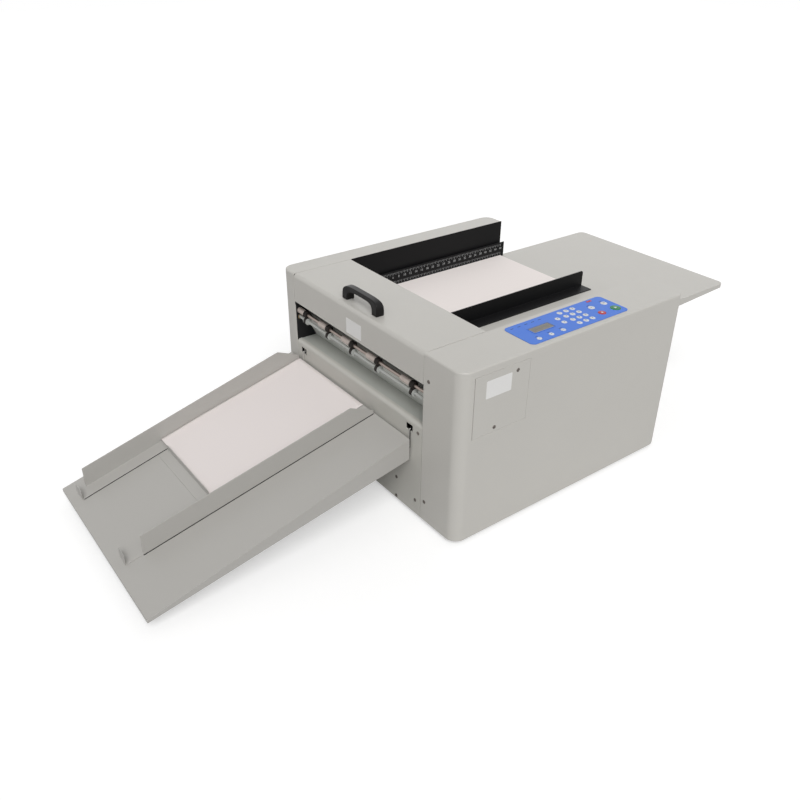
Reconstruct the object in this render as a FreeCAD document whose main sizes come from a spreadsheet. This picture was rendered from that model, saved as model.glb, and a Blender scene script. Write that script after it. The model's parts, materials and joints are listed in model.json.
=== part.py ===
"""Desk-top sheet creaser: a housing with a recessed feed table, a hinged lid over the
creasing tools and a sloping delivery tray.

Every sub-part is drawn in one working frame: X = 0 at the delivery face, Y = 0 at the
operator's face, Z = 0 on the floor. Its Placement then moves it to the row frame, whose
origin is the middle of the whole part's footprint, on the floor.
"""
import FreeCAD, Part
import os
import Sketcher

driving = {
    # housing
    "bodyLength": 710, "bodyWidth": 715, "coverHeight": 432, "footDrop": 10,
    "coverWall": 2, "cornerRadius": 29, "topEdgeRadius": 4,
    "operatorCoverWidth": 122, "farCoverWidth": 60, "frameThickness": 5,
    "seamGap": 1, "slipGap": 0.3, "restGap": 0.1, "runningGap": 0.05,
    "panWall": 2, "panFlange": 25, "footRadius": 19, "footToe": 3, "footInset": 75,
    "tieRadius": 8, "tieInset": 60, "tieHeight": 60, "middleTieX": 420, "middleTieHeight": 150,
    # feed table and its guides
    "tableRun": 369, "tableDepth": 106, "tableStart": 150, "tableSheet": 2,
    "tableFlange": 27, "tableEndFlange": 10.5, "tableCorner": 18,
    "linerThickness": 2, "linerStart": 176,
    "guideStart": 226, "guideHeight": 44, "guideWall": 3, "guideFoot": 39, "footSheet": 2.5,
    "rulerOverhang": 8, "rulerSetBack": 9, "frontGuideOverhang": 25, "frontGuideNose": 6,
    "sheetWidth": 297, "sheetLength": 434, "stackHeight": 4, "stackStart": 272,
    "gateBeamStart": 184, "gateBeamDepth": 24, "gateBeamRise": 30, "gateBeamHeight": 20,
    "gateSheet": 2, "gateSlot": 6,
    "gateFingerWidth": 30, "gateFingerOffset": 55,
    # lid
    "lidDepth": 172, "lidFrontDrop": 76, "lidRearDrop": 40, "lidWall": 2, "lidBend": 10,
    "lidRest": 8, "lidNotchStart": 56, "lidNotchEnd": 150, "lidNotchDrop": 28,
    "hingeInset": 8, "hingeDrop": 8, "hingeRadius": 3, "hingeReach": 6,
    "handleX": 29, "handleLength": 140, "handleHeight": 36, "handleWidth": 22,
    "handleFoot": 19, "handleBar": 10, "handleShoulder": 12, "handleRound": 5,
    # delivery end
    "ledgeHeight": 250, "ledgeDepth": 14, "ledgeRadius": 9, "shelfEnd": 62, "shelfSheet": 2,
    "guidePlateStart": 36, "guidePlateEnd": 76, "guidePlateDrop": 18,
    "panelSlotWidth": 24, "panelSlotHeight": 16, "panelSlotDrop": 31, "nearSlotInset": 46,
    "farSlotInset": 32,
    "hatchStart": 36, "hatchLength": 154, "hatchDrop": 18, "hatchHeight": 148, "hatchGap": 0.3,
    "hatchSlot": 1.6,
    "screwRadius": 4.5, "screwHead": 1.2,
    "sideScrewInset": 17, "sideScrewDrop": 61, "panelScrewInset": 14.5, "panelScrewDrop": 24,
    "lowScrewInset": 20, "lowScrewRise": 38, "coverScrewInset": 13.5, "coverScrewRise": 53,
    "hatchScrewInset": 36, "hatchScrewDrop": 17, "hatchScrewOffset": 61.5, "hatchScrewRise": 11,
    # transport rollers
    "axisDrop": 15.5, "exitX": 13, "exitShaftRadius": 4, "exitWheelRadius": 8.8,
    "tyreRadius": 9.2, "tyreWidth": 14, "hubRadius": 7, "hubWidth": 22, "nipGap": 0.3,
    "nearTyre": 51, "firstTyre": 183, "lastTyreInset": 35, "tyreCount": 4,
    "pullX": 132, "pullRadius": 12.2, "pullShaftRadius": 6, "pinchRadius": 10.2,
    "pinchShaftRadius": 5, "rollerClear": 12,
    "beltDriveX": 200, "beltIdlerX": 320, "beltRollerRadius": 13.7, "beltRollerWidth": 44,
    "beltThickness": 1.2, "beltWidth": 40, "beltPitch": 100,
    "bushWall": 3,
    "plenumInset": 22, "plenumHeight": 22, "ductSide": 30, "ductOffset": 50,
    "blowerRadius": 70, "blowerWidth": 90, "blowerHeight": 105,
    # timing drive
    "pulleyRadius": 8, "timingBelt": 1.5, "timingWidth": 8, "laneOne": 13, "lanePitch": 12,
    "camPulleyRadius": 18, "camLane": 57, "motorShaftRadius": 4, "motorBore": 10,
    "motorSide": 57, "motorRound": 4, "driveMotorLength": 76, "driveMotorHeight": 200,
    "creaseMotorLength": 80, "creaseMotorHeight": 110,
    # creasing tools
    "toolX": 95, "dieWidth": 30, "dieHeight": 28, "dieDrop": 12, "grooveWidth": 3.2,
    "grooveDepth": 4, "bladeWidth": 2, "bladeGap": 7, "bladeHeight": 9,
    "ramWidth": 20, "ramHeight": 38, "ramEndGap": 8, "postRadius": 5, "postInset": 30,
    "camShaftRadius": 8, "camShaftDrop": 40, "camThrow": 4, "camRadius": 13, "camWidth": 10,
    "yokeWall": 9, "yokeWidth": 12, "yokeInset": 80, "yokeGap": 2,
    # controls
    "panelStart": 207, "panelLength": 311, "panelInset": 14, "panelDepth": 95,
    "panelSheet": 1.2, "panelRound": 12, "keyRise": 0.5, "keyGap": 0.3, "keyTravel": 0.6,
    "windowX": 281.5, "windowY": 64, "windowLength": 63, "windowDepth": 25,
    "keyRadius": 6, "keypadX": 370, "keypadY": 32.5, "keyPitchX": 21, "keyPitchY": 20.5,
    "sideKeyX": 344, "sideKeyY": 54.5, "softKeyX": 241, "softKeyPitch": 36.5, "softKeyY": 29,
    "stepKeyRadius": 8, "minusKeyX": 453, "plusKeyX": 495.5, "stepKeyY": 72.5,
    "stopKeyRadius": 9.5, "startKeyRadius": 12.5, "stopKeyX": 452, "startKeyX": 498,
    "runKeyY": 39.5,
    "boardDrop": 24, "boardSheet": 1.6, "boardInset": 10, "standoffRadius": 3,
    "supplyInset": 17, "supplyLength": 200, "supplyY": 330, "supplyWidth": 110,
    "supplyHeight": 60, "supplyRound": 3,
    "moduleY": 220, "moduleZ": 75, "moduleWidth": 64, "moduleHeight": 50, "moduleFlange": 2.5,
    "moduleDepth": 30, "moduleRim": 4, "socketWidth": 24, "socketHeight": 17,
    "socketDepth": 16, "contactSide": 2.2, "contactReach": 10, "contactPitch": 7,
    "rockerWidth": 12, "rockerHalf": 9, "rockerGap": 1.4, "rockerIn": 1, "rockerOut": 4,
    "rockerBack": 6, "rockerPivot": 3, "rockerCavity": 14, "rockerOffset": 18,
    "rockerPin": 1.5, "rockerPinReach": 1,
    # delivery tray
    "trayRun": 644, "trayRootHeight": 210, "trayEndHeight": 35, "trayNearInset": 39,
    "trayFarInset": 29, "trayRootFlange": 55, "trayEndFlange": 8, "traySheet": 2, "trayGap": 4,
    "hookThickness": 3, "hookRadius": 3, "hookSheet": 3, "hookTip": 4, "hookOverlap": 24,
    "hookFoot": 18, "nearHookInset": 2, "farHookInset": 62,
    "trayGuideFoot": 38, "trayGuideSheet": 1.5, "trayGuideHeight": 53, "trayGuideWall": 2,
    "trayGuideEnd": 620, "trayWallEnd": 600, "trayWallBevel": 62, "trayWallRise": 10,
    "tabHeight": 26, "farGuideInset": 73, "trayGuideGap": 344,
    "nearGuideAngle": 2.7, "nearWallEnd": 581,
    "stopX": 405, "stopFoot": 26, "stopHeight": 14, "stopNearGap": 34, "stopFarGap": 6,
    "paperThickness": 1, "paperTop": 8, "paperLength": 404, "paperFlat": 290,
}


class Size:
    """A length that keeps its spreadsheet formula beside its present value."""

    def __init__(self, formula, value):
        self.formula, self.value = formula, value

    def combine(self, sign, other, value, swap=False):
        other = as_size(other)
        pair = (other.formula, self.formula) if swap else (self.formula, other.formula)
        return Size(f"({pair[0]} {sign} {pair[1]})", value)

    def __add__(self, other):
        return self.combine("+", other, self.value + as_size(other).value)

    def __sub__(self, other):
        return self.combine("-", other, self.value - as_size(other).value)

    def __mul__(self, other):
        return self.combine("*", other, self.value * as_size(other).value)

    def __truediv__(self, other):
        return self.combine("/", other, self.value / as_size(other).value)

    def __radd__(self, other):
        return self.combine("+", other, as_size(other).value + self.value, swap=True)

    def __rsub__(self, other):
        return self.combine("-", other, as_size(other).value - self.value, swap=True)

    def __rmul__(self, other):
        return self.combine("*", other, as_size(other).value * self.value, swap=True)

    def __neg__(self):
        return 0 - self


def as_size(value):
    return value if isinstance(value, Size) else Size(str(value), value)


doc = FreeCAD.newDocument("sheet_creaser")
sheet = doc.addObject("Spreadsheet::Sheet", "Sizes")


class Sizes:
    """One attribute for each driving size, in the order of the spreadsheet."""

    def __init__(self, table):
        for row, (name, value) in enumerate(table.items(), 1):
            sheet.set(f"A{row}", name)
            sheet.set(f"B{row}", str(value))
            sheet.setAlias(f"B{row}", name)
            setattr(self, name, Size("Sizes." + name, value))


d = Sizes(driving)
doc.recompute()

# levels and planes that several sub-parts share
coverTop = d.footDrop + d.coverHeight
tableTop = coverTop - d.tableDepth
panFloor = d.footDrop + d.panWall
innerNear = d.operatorCoverWidth
innerFar = d.bodyWidth - d.farCoverWidth
mouthMiddle = (innerNear + innerFar) / 2
tableEnd = d.bodyLength + d.tableRun
driveAxis = tableTop - d.axisDrop
exitNip = driveAxis + d.exitWheelRadius + d.nipGap / 2
exitShaftZ = exitNip + d.nipGap / 2 + d.tyreRadius
pinchZ = driveAxis + d.pullRadius + d.nipGap + d.pinchRadius
ledge = d.footDrop + d.ledgeHeight
farSheetEdge = innerFar - d.linerThickness - d.rulerSetBack - d.slipGap
nearSheetEdge = farSheetEdge - d.sheetWidth
beltMiddle = nearSheetEdge + d.sheetWidth / 2
camZ = coverTop - d.camShaftDrop
dieTop = tableTop - d.dieDrop
bladeTip = dieTop + d.bladeGap
ramBottom = bladeTip + d.bladeHeight
hingeX = d.lidDepth - d.hingeInset
hingeZ = coverTop - d.hingeDrop
frameInset = d.coverWall + d.panWall + d.slipGap * 2
traySlope = (d.trayRootHeight - d.trayEndHeight) / d.trayRun
trayNear = innerNear + d.trayNearInset
trayFar = d.bodyWidth - d.trayFarInset
farGuideY = d.bodyWidth - d.farGuideInset
nearGuideY = farGuideY - d.trayGuideGap
rowX = (d.trayRun - d.bodyLength - d.tableRun) / 2
rowY = 0 - d.bodyWidth / 2

published = []


def bind(item, prop, size):
    item.setExpression(prop, as_size(size).formula)


def publish(item, label):
    """Give a finished sub-part its label and move it to the row frame."""
    if item.TypeId in ("Part::Box", "Part::Cylinder"):
        item = group(item.Name + "Placed", item)
    item.Label = label
    bind(item, "Placement.Base.x", rowX)
    bind(item, "Placement.Base.y", rowY)
    published.append(item)
    return item


def box(name, x, y, z):
    item = doc.addObject("Part::Box", name)
    for axis, size, (low, high) in zip("xyz", ("Length", "Width", "Height"), (x, y, z)):
        bind(item, size, as_size(high) - low)
        bind(item, "Placement.Base." + axis, low)
    return item


turned = {
    "x": FreeCAD.Rotation(FreeCAD.Vector(0, 1, 0), 90),
    "y": FreeCAD.Rotation(FreeCAD.Vector(1, 0, 0), -90),
    "z": FreeCAD.Rotation(),
}


def rod(name, axis, start, end, centre, radius):
    """A cylinder along one axis; centre gives its other two coordinates in X, Y, Z order."""
    item = doc.addObject("Part::Cylinder", name)
    item.Placement.Rotation = turned[axis]
    bind(item, "Radius", radius)
    bind(item, "Height", as_size(end) - start)
    places = dict(zip([letter for letter in "xyz" if letter != axis], centre))
    places[axis] = start
    for letter, place in places.items():
        bind(item, "Placement.Base." + letter, place)
    return item


def fuse(name, *items):
    item = doc.addObject("Part::MultiFuse", name)
    item.Shapes = list(items)
    item.Refine = True
    return item


def cut(name, base, *tools):
    item = doc.addObject("Part::Cut", name)
    item.Base = base
    item.Tool = tools[0] if len(tools) == 1 else fuse(name + "_tools", *tools)
    return item


def group(name, *items):
    item = doc.addObject("Part::Compound", name)
    item.Links = list(items)
    return item


def outline(body, plane, points, offset):
    """A closed sketch whose corners are each tied to the sketch's origin by two sizes."""
    sketch = body.newObject("Sketcher::SketchObject", body.Name + "_outline")
    support = next(item for item in body.Origin.OriginFeatures if item.Role == plane)
    sketch.AttachmentSupport = [(support, "")]
    sketch.MapMode = "FlatFace"
    bind(sketch, "AttachmentOffset.Base.z", offset)
    corners = [(as_size(u), as_size(v)) for u, v in points]
    places = [FreeCAD.Vector(u.value, v.value, 0) for u, v in corners]
    count = len(places)
    for index, place in enumerate(places):
        sketch.addGeometry(Part.LineSegment(place, places[(index + 1) % count]), False)
    for index in range(count):
        following = (index + 1) % count
        sketch.addConstraint(Sketcher.Constraint("Coincident", index, 2, following, 1))
    for index, corner in enumerate(corners):
        for kind, size in zip(("DistanceX", "DistanceY"), corner):
            number = sketch.addConstraint(
                Sketcher.Constraint(kind, -1, 1, index, 1, float(size.value)))
            sketch.setExpression(f"Constraints[{number}]", size.formula)
    return sketch


def prism(name, plane, points, low, high):
    """A body padded from an outline; low and high are on the axis square to the plane."""
    body = doc.addObject("PartDesign::Body", name)
    backwards = plane == "XZ_Plane"
    offset = 0 - as_size(low) if backwards else as_size(low)
    sketch = outline(body, plane, points, offset)
    pad = body.newObject("PartDesign::Pad", name + "_pad")
    pad.Profile = sketch
    pad.Reversed = backwards
    bind(pad, "Length", as_size(high) - low)
    sketch.Visibility = False
    doc.recompute()
    return body


def slab(name, x, y, z):
    """A body that starts as a plain block, for the fillets and shells that follow."""
    corners = [(x[0], y[0]), (x[1], y[0]), (x[1], y[1]), (x[0], y[1])]
    return prism(name, "XY_Plane", corners, z[0], z[1])


def near(value, size):
    return abs(value - as_size(size).value) < 0.01


def fillet(body, radius, test):
    """Round the edges of the body's tip that pass the test on their bounding box."""
    tip = body.Tip
    names = [f"Edge{number}" for number, edge in enumerate(tip.Shape.Edges, 1)
             if test(edge.BoundBox)]
    item = body.newObject("PartDesign::Fillet", f"{body.Name}_round{len(body.Group)}")
    item.Base = (tip, names)
    bind(item, "Radius", radius)
    doc.recompute()
    return body


def shell(body, wall, test):
    """Hollow the body to a wall, left open at the faces that pass the test."""
    tip = body.Tip
    names = [f"Face{number}" for number, face in enumerate(tip.Shape.Faces, 1)
             if test(face.BoundBox)]
    item = body.newObject("PartDesign::Thickness", body.Name + "_shell")
    item.Base = (tip, names)
    bind(item, "Value", wall)
    item.Reversed = True
    doc.recompute()
    return body


def upright(edge):
    return edge.ZLength > 1 and edge.XLength < 0.01 and edge.YLength < 0.01


def loop(name, ends, y, radius, thickness):
    """A belt round two equal pulleys whose centres share a height or an X."""
    (x0, z0), (x1, z1) = ends
    level = near(as_size(z0).value, z1)
    pieces = []
    for layer, size in (("outer", radius + thickness), ("inner", radius)):
        if level:
            run = box(f"{name}_{layer}_run", (x0, x1), y, (z0 - size, z0 + size))
        else:
            run = box(f"{name}_{layer}_run", (x0 - size, x0 + size), y, (z0, z1))
        rounds = [rod(f"{name}_{layer}_end{number}", "y", y[0], y[1], end, size)
                  for number, end in enumerate(ends)]
        pieces.append(fuse(f"{name}_{layer}", run, *rounds))
    return cut(name, *pieces)


# floor pan, frames and feet
pan = slab("Pan", (d.coverWall + d.slipGap, d.bodyLength - d.coverWall - d.slipGap),
           (d.coverWall + d.slipGap, d.bodyWidth - d.coverWall - d.slipGap),
           (d.footDrop, panFloor + d.panFlange))
fillet(pan, d.cornerRadius - d.coverWall - d.slipGap, upright)
shell(pan, d.panWall, lambda face: near(face.ZMin, panFloor + d.panFlange))
publish(pan, "base_pan")

feet = []
for end, x in enumerate((d.footInset, d.bodyLength - d.footInset)):
    for side, y in enumerate((d.footInset, d.bodyWidth - d.footInset)):
        pad = rod(f"Foot{end}{side}", "z", 0, d.footDrop - d.footToe, (x, y), d.footRadius)
        neck = rod(f"FootNeck{end}{side}", "z", d.footDrop - d.footToe, d.footDrop, (x, y),
                   d.footRadius - d.footToe)
        feet.append(fuse(f"WholeFoot{end}{side}", pad, neck))
publish(group("Feet", *feet), "rubber_feet")

# every shaft that turns in the two frames: its place, its radius and its name
shafts = {
    "Exit": ((d.exitX, driveAxis), d.exitShaftRadius),
    "ExitTop": ((d.exitX, exitShaftZ), d.exitShaftRadius),
    "Pull": ((d.pullX, driveAxis), d.pullShaftRadius),
    "Pinch": ((d.pullX, pinchZ), d.pinchShaftRadius),
    "BeltDrive": ((d.beltDriveX, driveAxis), d.pullShaftRadius),
    "BeltIdler": ((d.beltIdlerX, driveAxis), d.pullShaftRadius),
    "Cam": ((d.toolX, camZ), d.camShaftRadius),
}
motors = {
    "Feed": (d.beltDriveX, d.driveMotorHeight, d.driveMotorLength),
    "Exit": (d.pullX, d.driveMotorHeight, d.driveMotorLength),
    "Crease": (d.toolX, d.creaseMotorHeight, d.creaseMotorLength),
}


def frame(name, low, high, inside, motorBores):
    """A frame plate with a bore for every bush and, if asked, for the motor shafts."""
    lidRest = box(name + "LidRest", (0, d.lidRest), inside,
                  (coverTop - d.lidFrontDrop - d.lidRest, coverTop - d.lidFrontDrop))
    foot = box(name + "Foot", (frameInset, d.bodyLength - frameInset), (low, high),
               (panFloor, panFloor + d.panFlange * 2))
    plate = box(name + "Plate", (d.coverWall + d.slipGap, d.bodyLength - d.coverWall - d.slipGap),
                (low, high), (panFloor + d.panFlange + d.seamGap, coverTop - d.coverWall))
    bores = [box(name + "FrontCorner", (0, d.topEdgeRadius), (low, high),
                 (coverTop - d.topEdgeRadius, coverTop)),
             box(name + "RearCorner", (d.bodyLength - d.topEdgeRadius, d.bodyLength), (low, high),
                 (coverTop - d.topEdgeRadius, coverTop))]
    bores += [rod(f"{name}{key}Bore", "y", low, high, place, radius + d.bushWall + d.runningGap * 2)
             for key, (place, radius) in shafts.items()]
    if motorBores:
        bores += [rod(f"{name}{key}MotorBore", "y", low, high, (x, z), d.motorBore)
                  for key, (x, z, length) in motors.items()]
    return cut(name, fuse(name + "Blank", foot, plate, lidRest), *bores)


publish(frame("NearFrame", innerNear - d.frameThickness, innerNear,
              (innerNear, innerNear + d.coverWall * 2), True), "operator_side_frame")
publish(frame("FarFrame", innerFar, innerFar + d.frameThickness,
              (innerFar - d.coverWall * 2, innerFar), False), "far_side_frame")

ties = [rod(f"Tie{number}", "y", innerNear, innerFar, place, d.tieRadius)
        for number, place in enumerate(((d.tieInset, d.tieHeight),
                                        (d.bodyLength - d.tieInset, d.tieHeight),
                                        (d.middleTieX, d.middleTieHeight)))]

bushes = []
for key, ((x, z), radius) in shafts.items():
    for side, (low, high) in enumerate(((innerNear - d.frameThickness, innerNear),
                                        (innerFar, innerFar + d.frameThickness))):
        body = rod(f"{key}Bush{side}", "y", low, high, (x, z), radius + d.bushWall + d.runningGap)
        bore = rod(f"{key}BushBore{side}", "y", low, high, (x, z), radius + d.runningGap)
        bushes.append(cut(f"{key}WholeBush{side}", body, bore))
publish(group("Bushes", *bushes), "shaft_bearings")

# covers, folded from sheet and left open underneath and towards the frames
hatchTop = coverTop - d.hatchDrop
hatchBottom = hatchTop - d.hatchHeight
hatchEnd = d.hatchStart + d.hatchLength
nearCover = slab("NearCover", (0, d.bodyLength), (0, innerNear), (d.footDrop, coverTop))
fillet(nearCover, d.cornerRadius, lambda edge: upright(edge) and near(edge.YMax, 0))
fillet(nearCover, d.topEdgeRadius,
       lambda edge: near(edge.ZMin, coverTop) and edge.YMin < innerNear.value - 0.01)
shell(nearCover, d.coverWall,
      lambda face: near(face.ZMax, d.footDrop) or near(face.YMin, innerNear))
hatchHole = box("HatchHole", (d.hatchStart - d.hatchSlot, hatchEnd + d.hatchGap),
                (0 - d.coverWall, d.coverWall * 2),
                (hatchBottom - d.hatchGap, hatchTop + d.hatchGap))
publish(cut("NearCoverWithHatchHole", nearCover, hatchHole), "operator_side_cover")

farCover = slab("FarCover", (0, d.bodyLength), (innerFar, d.bodyWidth), (d.footDrop, coverTop))
fillet(farCover, d.cornerRadius, lambda edge: upright(edge) and near(edge.YMin, d.bodyWidth))
fillet(farCover, d.topEdgeRadius,
       lambda edge: near(edge.ZMin, coverTop) and edge.YMax > innerFar.value + 0.01)
shell(farCover, d.coverWall,
      lambda face: near(face.ZMax, d.footDrop) or near(face.YMax, innerFar))
publish(farCover, "far_side_cover")

hatch = box("HatchSheet", (d.hatchStart, hatchEnd), (0, d.coverWall), (hatchBottom, hatchTop))
hatchLip = box("HatchLip", (d.hatchStart - d.slipGap * 20, hatchEnd + d.slipGap * 20),
               (d.coverWall, d.coverWall * 2),
               (hatchBottom - d.slipGap * 20, hatchTop + d.slipGap * 10))
publish(fuse("Hatch", hatch, hatchLip), "access_hatch")

# delivery end: lower panel with its rolled ledge, shelf and guide plate
slotTop = ledge - d.panelSlotDrop + d.panelSlotHeight
lowerPanel = prism("LowerPanel", "XZ_Plane",
                   [(0, d.footDrop), (d.coverWall, d.footDrop), (d.coverWall, ledge - d.coverWall),
                    (d.ledgeDepth, ledge - d.coverWall), (d.ledgeDepth, ledge), (0, ledge)],
                   innerNear + d.seamGap, innerFar - d.seamGap)
fillet(lowerPanel, d.ledgeRadius,
       lambda edge: near(edge.XMax, 0) and near(edge.ZMin, ledge) and edge.YLength > 1)
fillet(lowerPanel, d.ledgeRadius - d.coverWall,
       lambda edge: near(edge.XMin, d.coverWall) and near(edge.ZMin, ledge - d.coverWall)
       and edge.YLength > 1 and edge.XLength < 1)
slots = []
for number, middle in enumerate((innerNear + d.nearSlotInset, innerFar - d.farSlotInset)):
    slots.append(box(f"PanelSlot{number}", (0 - d.coverWall, d.coverWall * 2),
                     (middle - d.panelSlotWidth / 2, middle + d.panelSlotWidth / 2),
                     (ledge - d.panelSlotDrop, slotTop)))
ears = []
for side, (low, high) in enumerate(((innerNear, innerNear + d.seamGap + d.coverWall),
                                    (innerFar - d.seamGap - d.coverWall, innerFar))):
    for level, rise in enumerate((0.25, 0.8)):
        height = d.footDrop + d.ledgeHeight * rise
        ears.append(box(f"PanelEar{side}{level}", (d.coverWall, d.ledgeDepth * 2), (low, high),
                        (height - d.footRadius, height)))
publish(fuse("DeliveryPanel", cut("SlottedPanel", lowerPanel, *slots), *ears), "delivery_panel")

publish(box("ExitShelf", (d.ledgeDepth - d.coverWall * 2, d.shelfEnd), (innerNear, innerFar),
            (ledge - d.coverWall - d.shelfSheet, ledge - d.coverWall)), "exit_shelf")

guideTop = driveAxis + d.exitWheelRadius - d.slipGap
guideLow = ledge - d.coverWall
exitGuide = prism("ExitGuide", "XZ_Plane",
                  [(d.shelfEnd - d.shelfSheet * 2, guideLow), (d.shelfEnd, guideLow),
                   (d.guidePlateStart, guideTop - d.guidePlateDrop),
                   (d.guidePlateStart - d.shelfSheet * 4, guideTop - d.shelfSheet),
                   (d.guidePlateEnd, guideTop - d.shelfSheet), (d.guidePlateEnd, guideTop),
                   (d.guidePlateStart - d.shelfSheet * 5, guideTop),
                   (d.guidePlateStart - d.shelfSheet * 1.5, guideTop - d.guidePlateDrop)],
                  innerNear, innerFar)
publish(exitGuide, "exit_guide_plate")

moduleLow = d.moduleZ - d.moduleHeight / 2
moduleHigh = d.moduleZ + d.moduleHeight / 2
moduleNear = d.moduleY - d.moduleWidth / 2
moduleFar = d.moduleY + d.moduleWidth / 2
endPlate = box("FeedEndPlate", (d.bodyLength - d.coverWall, d.bodyLength),
               (innerNear + d.seamGap, innerFar - d.seamGap),
               (d.footDrop, tableTop - d.tableSheet))
moduleHole = box("ModuleHole", (d.bodyLength - d.coverWall * 2, d.bodyLength + d.coverWall),
                 (moduleNear + d.moduleRim, moduleFar - d.moduleRim),
                 (moduleLow + d.moduleRim, moduleHigh - d.moduleRim))
publish(cut("FeedEndPanel", endPlate, moduleHole), "feed_end_panel")

# lid with its skirts, hung on two pins
lidBack = coverTop - d.lidRearDrop
lid = prism("Lid", "XZ_Plane",
            [(0, coverTop - d.lidFrontDrop), (d.lidDepth - d.coverWall * 3, lidBack),
             (d.lidDepth, lidBack), (d.lidDepth, coverTop), (0, coverTop)],
            innerNear + d.seamGap, innerFar - d.seamGap)
fillet(lid, d.lidBend, lambda edge: near(edge.XMax, 0) and near(edge.ZMin, coverTop))
lidRun = d.lidDepth.value
shell(lid, d.lidWall,
      lambda face: near(face.ZMin, coverTop - d.lidFrontDrop) and face.XLength > lidRun / 2
      or near(face.ZMin, lidBack) and near(face.ZMax, lidBack))
pinBores = [rod(f"LidBore{side}", "y", low, high, (hingeX, hingeZ), d.hingeRadius + d.runningGap)
            for side, (low, high) in enumerate(((innerNear, innerNear + d.lidWall * 3),
                                                (innerFar - d.lidWall * 3, innerFar)))]
notches = [box(f"LidNotch{side}", (d.lidNotchStart, d.lidNotchEnd), (low, high),
               (coverTop - d.lidFrontDrop, coverTop - d.lidNotchDrop))
           for side, (low, high) in enumerate(((innerNear, innerNear + d.lidWall * 2),
                                               (innerFar - d.lidWall * 2, innerFar)))]
publish(cut("LidWithBores", lid, *pinBores, *notches), "top_cover")

pins = [rod("NearHingePin", "y", innerNear, innerNear + d.hingeReach, (hingeX, hingeZ),
            d.hingeRadius),
        rod("FarHingePin", "y", innerFar - d.hingeReach, innerFar, (hingeX, hingeZ),
            d.hingeRadius)]
publish(group("FrameFittings", *ties, *pins), "tie_bars_and_pins")

handleLow = mouthMiddle - d.handleLength / 2
handleHigh = mouthMiddle + d.handleLength / 2
handleTop = coverTop + d.handleHeight
handle = prism("Handle", "YZ_Plane",
               [(handleLow, coverTop), (handleLow + d.handleFoot, coverTop),
                (handleLow + d.handleFoot + d.handleBar / 2, handleTop - d.handleBar),
                (handleHigh - d.handleFoot - d.handleBar / 2, handleTop - d.handleBar),
                (handleHigh - d.handleFoot, coverTop), (handleHigh, coverTop),
                (handleHigh - d.handleBar / 2, handleTop - d.handleShoulder),
                (handleHigh - d.handleFoot, handleTop),
                (handleLow + d.handleFoot, handleTop),
                (handleLow + d.handleBar / 2, handleTop - d.handleShoulder)],
               d.handleX - d.handleWidth / 2, d.handleX + d.handleWidth / 2)
fillet(handle, d.handleRound / 2,
       lambda edge: edge.XLength < 0.01 and edge.ZMax > coverTop.value + 1
       and edge.YMax - edge.YMin + edge.ZLength > 8)
publish(handle, "cover_handle")

# feed table, its brackets and the wall liner
beltLows = []
for number in (-1, 0, 1):
    beltLows.append(beltMiddle + d.beltPitch * number - d.beltWidth / 2)
slotReach = d.beltRollerRadius + d.beltThickness + d.coverWall
innerSheet = box("InnerTable", (d.tableStart, d.bodyLength + d.cornerRadius),
                 (innerNear + d.slipGap, innerFar - d.slipGap),
                 (tableTop - d.tableSheet, tableTop))
beltSlots = [box(f"BeltSlot{number}", (d.beltDriveX - slotReach, d.beltIdlerX + slotReach),
                 (low - d.coverWall, low + d.beltWidth + d.coverWall),
                 (tableTop - d.tableSheet * 2, tableTop + d.tableSheet))
             for number, low in enumerate(beltLows)]
outerTable = prism("OuterTable", "XZ_Plane",
                   [(d.bodyLength + d.slipGap, tableTop - d.tableFlange),
                    (tableEnd, tableTop - d.tableEndFlange), (tableEnd, tableTop),
                    (d.bodyLength + d.slipGap, tableTop)],
                   innerNear + d.slipGap, innerFar - d.slipGap)
fillet(outerTable, d.tableCorner, lambda edge: upright(edge) and near(edge.XMin, tableEnd))
shell(outerTable, d.tableSheet,
      lambda face: near(face.XMax, d.bodyLength + d.slipGap)
      or near(face.ZMin, tableTop - d.tableFlange) and face.ZMax < tableTop.value - 1)
publish(fuse("FeedTable", cut("SlottedTable", innerSheet, *beltSlots), outerTable), "feed_table")

bracketStart = d.beltIdlerX + d.tieInset
bracketRise = d.tableFlange
brackets = []
for side, (low, high, leg) in enumerate((
        (innerNear, innerNear + d.coverWall, innerNear + d.footRadius),
        (innerFar - d.coverWall, innerFar, innerFar - d.footRadius))):
    web = box(f"BracketWeb{side}", (bracketStart, d.bodyLength - frameInset), (low, high),
              (tableTop - d.tableSheet - bracketRise, tableTop - d.tableSheet))
    shelf = box(f"BracketShelf{side}", (bracketStart, d.bodyLength - frameInset),
                (low, leg) if side == 0 else (leg, high),
                (tableTop - d.tableSheet * 2, tableTop - d.tableSheet))
    brackets.append(fuse(f"Bracket{side}", web, shelf))
beam = box("TableBeam", (d.bodyLength + d.panWall, tableEnd - d.tieInset),
           (mouthMiddle - d.footRadius, mouthMiddle + d.footRadius),
           (tableTop - d.tableSheet - d.tableEndFlange, tableTop - d.tableSheet))
publish(group("Brackets", *brackets, beam), "table_brackets")

publish(box("Liner", (d.linerStart, d.bodyLength), (innerFar - d.linerThickness, innerFar),
            (tableTop, coverTop)), "wall_liner")

# guides and the stack that waits between them
rulerFace = farSheetEdge + d.slipGap
rulerEnd = d.bodyLength + d.rulerOverhang
frontGuideEnd = d.bodyLength + d.frontGuideOverhang
rulerWall = box("RulerWall", (d.guideStart, rulerEnd), (rulerFace, rulerFace + d.guideWall),
                (tableTop, tableTop + d.guideHeight))
rulerFoot = box("RulerFoot", (d.guideStart, rulerEnd), (rulerFace, innerFar - d.linerThickness),
                (tableTop, tableTop + d.footSheet))
publish(fuse("Ruler", rulerWall, rulerFoot), "ruler_guide")

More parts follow.
